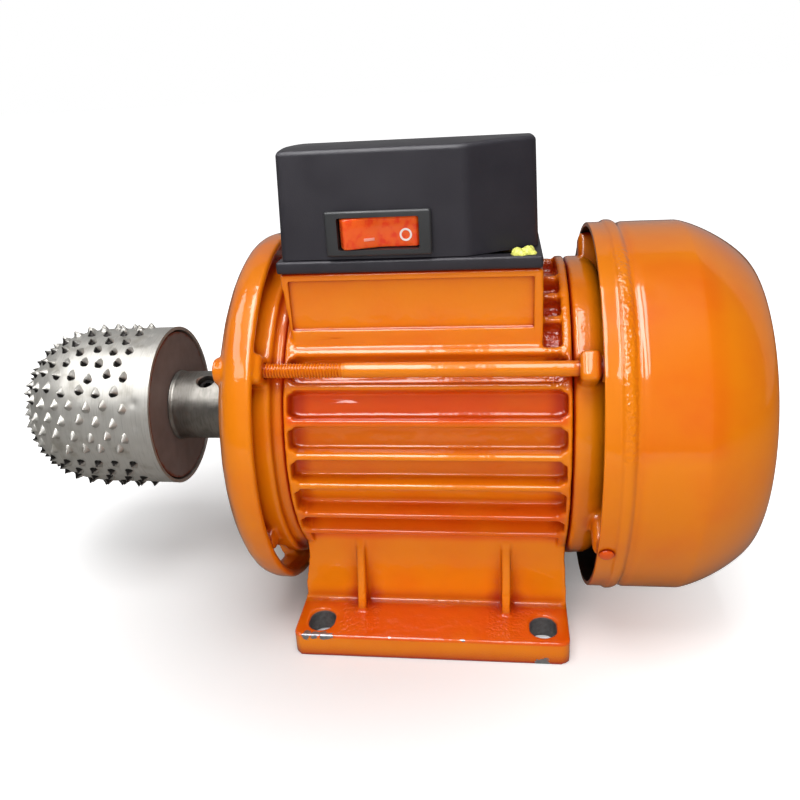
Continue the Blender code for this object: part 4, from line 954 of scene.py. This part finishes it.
def make_switch_housing():
    housing = switch_block("bezel", 16.6, 7.0, -GAP - 2.0, -GAP, 0.8, 4)
    weld(housing, switch_block("body", 14.2, 5.6, -1.5, 21.0))
    carve(housing, switch_block("pocket", 12.8, 5.0, -6.0, 12.5, 0.6))
    carve(housing, *[box("slot", (SWITCH_X + x - 0.8, 14 - BOX_HALF_Y, SWITCH_Z - 2.8),
                         (SWITCH_X + x + 0.8, 24 - BOX_HALF_Y, SWITCH_Z + 2.8)) for x in (-8.0, 8.0)])
    finish_piece(housing, "motor", "switch_plastic", "switch_housing", sharp=35)


def rocker_matrix():
    return Matrix.Translation(place(SWITCH_X, PIVOT_Y, SWITCH_Z)) @ Matrix.Rotation(
        math.radians(ROCKER_TILT), 4, "Z")


def make_rocker():
    """A shallow V seen from above, with rounded lips. Its fan-side end is pressed in."""
    half, tall = ROCKER_HALF_X, ROCKER_HALF_Z
    outline = [(half, 4.5), (4.0, 6.6), (-4.0, 6.6), (-half, 4.5), (-half - 1.1, 1.0), (-half - 0.9, -2.8),
               (-half, -5.2), (-half + LIP_INSET, LIP_Y), (0.0, VALLEY_Y), (half - LIP_INSET, LIP_Y),
               (half, -5.2),
               (half + 0.9, -2.8), (half + 1.1, 1.0)]
    base = spaced(rounded(outline, 1.2, 4), 1.5)
    loops = []
    for inset, height in ((0.5, -tall), (0.15, -tall + 0.18), (0.0, -tall + 0.55), (0.0, -1.5), (0.0, 1.5),
                          (0.0, tall - 0.55), (0.15, tall - 0.18), (0.5, tall)):
        loops.append([Vector((x * (1 - inset / half), y * (1 + inset / LIP_Y), height)) * MM
                      for x, y in base])
    rocker = lofted("rocker", loops, rocker_matrix())
    finish_piece(rocker, "rocker", "rocker_red", "switch_rocker", sharp=50)


def rocker_face_y(x):
    """How far the rocker's front face stands from its pivot, in the rocker's own measures."""
    return VALLEY_Y + (LIP_Y - VALLEY_Y) * abs(x) / (ROCKER_HALF_X - LIP_INSET)


def make_rocker_marks():
    """The moulded ring on the pressed side and the bar on the raised one, standing just proud."""
    ring = bmesh.new()
    around = 40
    loops = []
    for radius, proud in ((1.3, -0.25), (1.3, 0.06), (1.4, 0.12), (1.8, 0.12), (1.9, 0.06), (1.9, -0.25)):
        loop = []
        for k in range(around):
            turn = math.tau * k / around
            x = RING_X + radius * math.cos(turn)
            height = RING_Z + radius * 1.05 * math.sin(turn)
            loop.append(ring.verts.new((x * MM, (rocker_face_y(x) - proud) * MM, height * MM)))
        loops.append(loop)
    skin_rings(ring, loops, closed=True)
    mark = as_object("rocker_ring", ring, rocker_matrix(), face_out=True)
    finish_piece(mark, "rocker", "mark_white", sharp=50)
    slope = math.atan2(VALLEY_Y - LIP_Y, ROCKER_HALF_X - LIP_INSET)
    middle = Matrix.Translation((DASH_X * MM, rocker_face_y(DASH_X) * MM, DASH_Z * MM))
    turn = rocker_matrix() @ middle @ Matrix.Rotation(slope, 4, "Z")
    mark = block("rocker_dash", (3.4, 0.35, 0.9), turn, 0.12)
    finish_piece(mark, "rocker", "mark_pink", sharp=50)


def make_sealant():
    """A smeared dab on the tray's ledge, in the corner that the cover cuts off."""
    blobs = []
    for along, y, size, tall in ((30.6, -38.4, 1.9, 2.0), (33.8, -37.2, 2.2, 2.2), (34.6, -34.8, 1.7, 1.8),
                                 (32.2, -39.2, 1.4, 1.3), (35.6, -38.2, 1.1, 1.0)):
        shape = bmesh.new()
        bmesh.ops.create_icosphere(shape, subdivisions=4, radius=1.0)
        bmesh.ops.scale(shape, vec=(size * MM, size * MM, tall * MM), verts=shape.verts)
        blobs.append(as_object("blob", shape, Matrix.Translation(place(along, y, TRAY_TOP + 0.1))))
    dab = fused("sealant_dab", blobs, 0.25, smooth=3, keep=0.8)
    lump(dab, 0.35, 1.1, seed=21.0)
    finish_piece(dab, "motor", "sealant_yellow", "corner_sealant")


# ---------------------------------------------------------------- grating head

def head_radius(along):
    """Outer radius of the head's sheet: a slight taper, then a superellipse dome."""
    if along >= DOME_START:
        share = (along - DOME_START) / (HEAD_REAR - DOME_START)
        return HEAD_R + (HEAD_REAR_R - HEAD_R) * share ** 2
    share = min(1.0, (DOME_START - along) / (DOME_START - DOME_APEX))
    return HEAD_R * (1 - share ** DOME_POWER) ** (1 / DOME_POWER)


def head_stations(step):
    """Places along the head's outline, evenly spaced over its surface from its rim to its apex."""
    along, places = HEAD_REAR, [HEAD_REAR]
    travelled = 0.0
    while along > DOME_APEX + 0.003:
        finer = min(0.05, max(0.001, (along - DOME_APEX) * 0.02))
        after = along - finer
        travelled += math.hypot(finer, head_radius(after) - head_radius(along))
        along = after
        if travelled >= step:
            places.append(along)
            travelled = 0.0
    return places


def head_frame(along, turn):
    """A point on the head's sheet, with the directions along the sheet, round it and out of it."""
    step = 0.02
    slope = (head_radius(along + step) - head_radius(along - step)) / (2 * step)
    out = 1.0 / math.hypot(1.0, slope)
    axis, radial = Vector((1, 0, 0)), Vector((0, -math.cos(turn), math.sin(turn)))
    lengthwise = (axis + radial * slope) * out
    round_it = Vector((0, math.sin(turn), math.cos(turn)))
    return axis * along + radial * head_radius(along), lengthwise, round_it, (radial - axis * slope) * out


def mouth(turn):
    """The side a tooth opens on, 1 being upwards at the near side, and how much painted shade its mouth
    gets, set by where round the head it sits.
    """
    angle = math.degrees(turn) % 360
    if angle > 345 or angle < 26:
        return -1.0, 0.25
    if angle < 88:
        return -1.0, 1.0
    if angle < 180:
        return -1.0, 0.3
    return 1.0, 1.0


def add_tooth(shape, mouth_shade, along, turn, randomly):
    """A burr punched from inside: a long smooth flank on one side, and an open mouth with painted shade on
    the other.
    """
    height = TOOTH_HEIGHT * randomly.uniform(0.78, 1.06)
    lean_along, lean_round = randomly.uniform(-0.35, 0.35), randomly.uniform(-0.55, -0.15)
    middle, lengthwise, round_it, outward = head_frame(along, turn)
    # depth is how much painted shade the mouth gets
    side, depth = mouth(turn)
    spokes, smooth_length, torn_length, half_width = 12, 2.9, 1.8, 1.95
    reach = [(math.cos(math.tau * k / spokes), math.sin(math.tau * k / spokes)) for k in range(spokes)]
    rings = []
    for share, lift in ((1.0, -0.12), (0.80, 0.18), (0.52, 0.45), (0.28, 0.72), (0.12, 0.89)):
        ring = []
        for across, up in reach:
            length = smooth_length if up > 0 else torn_length
            pinch = 1.0 - 0.4 * max(0.0, up)
            ragged = 1.0 + randomly.uniform(-0.12, 0.12) * (1 - lift)
            s = (up * length * share + lean_round * (1 - share)) * ragged
            t = (across * half_width * pinch * share + lean_along * (1 - share)) * ragged
            low = 0.55 if up < -0.2 and 0.2 < share < 0.9 else 1.0
            rise = height * (lift if lift < 0 else lift * low)
            point = middle + lengthwise * t - round_it * side * s + outward * rise
            vertex = shape.verts.new(point * MM)
            # Painted shade on the mouth side of the burr, half as much beside it, and a little at the tip
            vertex[mouth_shade] = depth if up < -0.1 else (depth / 2 if up < 0.3 and share < 0.8 else 0.0)
            ring.append(vertex)
        rings.append(ring)
    top = middle + lengthwise * lean_along - round_it * side * lean_round + outward * height
    tip = shape.verts.new(top * MM)
    tip[mouth_shade] = 0.25
    skin_rings(shape, rings + [[tip] * spokes])


def tooth_places(randomly):
    """Staggered rings of teeth, fewer where the dome narrows."""
    places = []
    ring = 0
    for along in head_stations(TOOTH_PITCH):
        if along > TEETH_START or head_radius(along) < 3.0:
            continue
        count = max(4, round(math.tau * head_radius(along) / TOOTH_SPACING))
        for k in range(count):
            turn = math.tau * (k + 0.5 * (ring % 2)) / count
            places.append((along + randomly.uniform(-0.5, 0.5), turn + randomly.uniform(-0.035, 0.035)))
        ring += 1
    return places


def make_grater_shell():
    randomly = random.Random(7)
    shape = bmesh.new()
    # A vertex layer of painted shade for the teeth's mouths
    mouth_shade = shape.verts.layers.float.new("mouth_shade")
    around = 240
    outer = [(a, head_radius(a)) for a in head_stations(1.0)] + [(DOME_APEX, 0.0)]
    inner = [(a + (HEAD_WALL if a < DOME_START else 0.0), max(0.0, head_radius(a) - HEAD_WALL))
             for a in head_stations(3.0)]
    profile = outer[::-1] + [(HEAD_REAR, HEAD_REAR_R - 0.4)] + inner
    places = tooth_places(randomly)
    turned(shape, profile + [(DOME_APEX + HEAD_WALL, 0.0)], around, pole=0.2)
    for along, turn in places:
        add_tooth(shape, mouth_shade, along, turn, randomly)
    head = as_object("toothed_head", shape, SHAFT, face_out=True)
    dent_head(head.data)
    finish_piece(head, "rotor", "head_steel", "grater_shell", sharp=55)


def dent_head(mesh):
    """Faint unevenness of the sheet and small dents on the plain band behind the teeth."""
    co = vertices_of(mesh)
    radius, turn = polar(co)
    sheet = np.array([head_radius(a) for a in co[:, 0]])
    on_sheet = np.abs(radius - sheet) < 0.02
    waves = np.array([noise.noise(Vector(p) / 5.0) for p in co])
    push = 0.18 * waves
    for along, where, height in ((-110.3, 0.42, -0.45), (-110.0, -0.1, -0.25), (-109.5, 0.15, -0.3),
                                 (-110.8, -0.55, -0.4), (-110.4, 0.8, -0.3), (-110.2, 1.4, -0.35),
                                 (-110.4, -1.2, -0.35), (-110.1, 2.2, -0.3)):
        arc = (turn - where) * HEAD_R
        push += height * np.exp(-((co[:, 0] - along) ** 2 / 1.1 + arc ** 2 / 1.8))
    push_outward(co, push * (on_sheet & (co[:, 0] < HEAD_REAR - 1.0)))
    put_vertices(mesh, co)


def make_backplate():
    rear, front, rim = HEAD_REAR - 0.4, HEAD_REAR - 3.4, HEAD_R - HEAD_WALL - GAP
    outline = [(front, 10.1), (front, rim), (rear, rim), (rear, 10.1)]
    plate = turned_part("back_plate", outline, 0.5, 3, 1.0, 120)
    lump(plate, 0.18, 7.0, seed=31.0)
    finish_piece(plate, "rotor", "disc_iron", "grater_backplate", sharp=50)


def make_hub():
    outline = [(HUB_MOTOR_END, 7.3), (HUB_MOTOR_END, HUB_R - 0.5), (HUB_MOTOR_END - 0.5, HUB_R),
               (HEAD_REAR + 1.2, HUB_R), (HEAD_REAR, HUB_R + 0.7), (HEAD_REAR, 9.8), (-112.0, 9.8),
               (-112.0, 4.0), (-102.2, 4.0), (-102.2, 7.3)]
    hub = turned_part("hub_turned", outline, 0.5, 3, 2.0, 120)
    at = (SET_SCREW_X, SET_SCREW_ANGLE)
    carve(hub, spoke_bar("hole", *at, 4.0, 20.0, 3.3, 48),
          spoke_bar("sink", *at, HUB_R - 0.9, HUB_R + 1.0, 3.1, 48, 4.8))
    finish_piece(hub, "rotor", "hub_steel", "grater_hub", sharp=35)
    screw = spoke_bar("socket_screw", *at, 7.4, 11.0, 3.0, 48)
    carve(screw, spoke_bar("hex", *at, 8.4, 15.0, 1.7, 6))
    finish_piece(screw, "rotor", "black_steel", "hub_set_screw", sharp=35)


# ---------------------------------------------------------------- cable entry and fan

def ribbed(name, profile, ribs, depth, first, last, matrix, around=144):
    """A turned part whose outer wall has grip ribs between two places along its axis."""
    part = turned_part(name, profile, 0.4, 3, 0.8, around, matrix)
    inverse = matrix.inverted()
    limit = max(radius for _, radius in profile) - 0.7
    for vertex in part.data.vertices:
        local = inverse @ vertex.co / MM
        radius = math.hypot(local.y, local.z)
        if radius > limit and first < local.x < last:
            turn = math.atan2(local.z, local.y)
            shrink = 1 - depth * (0.5 - 0.5 * math.cos(turn * ribs)) / radius
            vertex.co = matrix @ (Vector((local.x, local.y * shrink, local.z * shrink)) * MM)
    return part


def make_gland():
    matrix = axis_at(place(0, NECK_HALF_Y, GLAND_Z), (0, 1, 0))
    body = [(-6.6, 4.9), (-6.6, 6.0), (GAP, 6.0), (GAP, 9.0), (5.0, 9.0), (5.0, 6.0), (12.0, 6.0),
            (12.0, 4.9)]
    part = ribbed("gland_hexagon", body, 6, 0.9, GAP + 0.2, 4.8, matrix)
    finish_piece(part, "motor", "switch_plastic", "gland_body", sharp=35)
    cap = [(5.3, 6.3), (5.3, 8.6), (14.0, 8.6), (17.0, 6.6), (17.0, 4.2), (15.2, 4.2), (12.6, 6.3)]
    part = ribbed("gland_dome_nut", cap, 18, 0.5, 5.6, 13.8, matrix)
    finish_piece(part, "motor", "switch_plastic", "gland_cap", sharp=35)


def make_fan():
    bore = 6.3
    outline = [(84.0, bore), (84.0, 11.0), (90.5, 12.0), (91.5, 15.0), (91.5, 46.0), (93.5, 46.0),
               (93.5, 12.0), (101.0, 11.0), (101.0, bore)]
    wheel = turned_part("fan_wheel", outline, 0.7, 3, 3.0, 96)
    for i in range(FAN_BLADES):
        weld(wheel, box("blade", (86.5, -0.9, 11.2), (101.5, 0.9, 51.0), 0.5, 2,
                        about_shaft(360 * i / FAN_BLADES)))
    finish_piece(wheel, "rotor", "fan_plastic", "cooling_fan", sharp=35)


# ---------------------------------------------------------------- carried-over parts

def dress_cad_nodes():
    """Soften the edges of the CAD nodes that stay, and give each its slot's material."""
    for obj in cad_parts.values():
        if obj.hide_render:
            continue
        slot = obj.data.materials[0].name.split(".")[0] if obj.data.materials else PAINTED
        for index in range(len(obj.data.materials)):
            obj.data.materials[index] = MATERIALS[slot]
        softened = obj.modifiers.new("Edges", "BEVEL")
        softened.width = 0.2 * MM
        softened.segments = 2
        softened.limit_method = "ANGLE"
        softened.angle_limit = math.radians(40)


# ---------------------------------------------------------------- room, light and camera

def camera_matrix():
    yaw, pitch, roll = (math.radians(v) for v in (CAMERA_YAW, CAMERA_PITCH, CAMERA_ROLL))
    forward = Vector((-math.sin(yaw) * math.cos(pitch), math.cos(yaw) * math.cos(pitch), math.sin(pitch)))
    right = Vector((math.cos(yaw), math.sin(yaw), 0.0))
    up = right.cross(forward)
    side = right * math.cos(roll) + up * math.sin(roll)
    above = up * math.cos(roll) - right * math.sin(roll)
    turn = Matrix((side, above, -forward)).transposed().to_4x4()
    return Matrix.Translation(place(*CAMERA_PLACE)) @ turn


def make_camera():
    data = bpy.data.cameras.new("camera")
    data.lens = CAMERA_LENS
    data.sensor_width = 36.0
    data.clip_start = 0.005
    camera = bpy.data.objects.new("camera", data)
    camera.matrix_world = camera_matrix()
    bpy.context.scene.collection.objects.link(camera)
    bpy.context.scene.camera = camera


def aimed(centre, target):
    """A matrix for a lamp at a centre that shines at a target, with its width along world X."""
    back = (centre - target).normalized()
    side = (Vector((1, 0, 0)) - back * back.x).normalized()
    return Matrix.Translation(centre) @ Matrix((side, back.cross(side), back)).transposed().to_4x4()


def make_panel_light(name, centre, size, target, radiance):
    data = bpy.data.lights.new(name, "AREA")
    data.shape = "RECTANGLE"
    data.size, data.size_y = size
    data.energy = radiance * math.pi * size[0] * size[1]
    light = bpy.data.objects.new(name, data)
    light.matrix_world = aimed(Vector(centre), Vector(target))
    light.visible_camera = False
    bpy.context.scene.collection.objects.link(light)
    return light


def make_floor():
    shape = bmesh.new()
    bmesh.ops.create_grid(shape, x_segments=1, y_segments=1, size=6.0)
    floor = as_object("floor", shape)
    shader = Shader("pale_floor", (0.80, 0.80, 0.80), 0.6)
    shader.set("Specular IOR Level", 0.1)
    far = shader.ramp(shader.measure("LENGTH", shader.place), *FLOOR_FADE)
    seen = shader.node("ShaderNodeLightPath").outputs["Is Camera Ray"]
    shader.drive("Base Color", shader.mix(seen, (0.34, 0.33, 0.31), (0.90, 0.90, 0.90)))
    shader.set("Emission Color", (1.0, 1.0, 1.0, 1.0))
    shader.drive("Emission Strength", shader.math("MULTIPLY", far, seen))
    floor.data.materials.append(shader.material)


def make_world():
    """White to the camera; to the object, a bright sweep behind and a dimmer room in front."""
    world = bpy.data.worlds.new("studio")
    world.use_nodes = True
    nodes = Nodes(world.node_tree)
    background = world.node_tree.nodes["Background"]
    background.inputs["Color"].default_value = (1.0, 1.0, 1.0, 1.0)
    axes = nodes.parts_of(nodes.node("ShaderNodeTexCoord").outputs["Generated"])
    below = nodes.math("MULTIPLY", axes["Z"], -1.0)
    into_sweep = nodes.math("MULTIPLY_ADD", axes["Y"], SWEEP_SLOPE, below)
    level = nodes.ramp(into_sweep, -SWEEP_EDGE, SWEEP_EDGE, ROOM_LEVEL, SWEEP_LEVEL)
    to_camera = nodes.node("ShaderNodeLightPath").outputs["Is Camera Ray"]
    strength = nodes.math("MAXIMUM", level, to_camera)
    nodes.link(strength, background.inputs["Strength"])
    bpy.context.scene.world = world


def make_lights():
    """Overhead softboxes give the highlights, and broad fills light the colours."""
    for name, centre, size, radiance in (("softbox_barrel", (-0.085, -0.33, 0.60), (0.15, 0.72), 11.0),
                                         ("softbox_cowl", (0.085, -0.33, 0.60), (0.09, 0.66), 8.0),
                                         ("softbox_head", (-0.42, -0.25, 0.55), (0.30, 0.66), 4.6),
                                         ("front_fill", (0.05, -0.95, 0.36), (1.1, 0.55), 4.0),
                                         ("top_fill", (-0.02, -0.22, 0.80), (0.5, 0.4), 5.2)):
        softbox = name.startswith("softbox")
        target = (centre[0], centre[1], 0.0) if softbox else (0.0, 0.0, 0.08)
        light = make_panel_light(name, centre, size, target, radiance)
        light.visible_diffuse = not softbox
        light.visible_glossy = softbox


make_motor_frame()
make_front_shield()
make_rear_shield()
for index, bolt_angle in enumerate(BOLT_ANGLES, 1):
    make_tie_bolt(index, bolt_angle)
make_fan_cover()
for index, screw_angle in enumerate(COVER_SCREW_ANGLES, 1):
    make_cowl_screw(index, screw_angle)
make_switch_box_cover()
make_switch_box_tray()
make_switch_housing()
make_rocker()
make_rocker_marks()
make_sealant()
make_grater_shell()
make_backplate()
make_hub()
make_gland()
make_fan()
dress_cad_nodes()
make_floor()
make_world()
make_lights()
make_camera()
bpy.context.scene.view_settings.view_transform = "Standard"
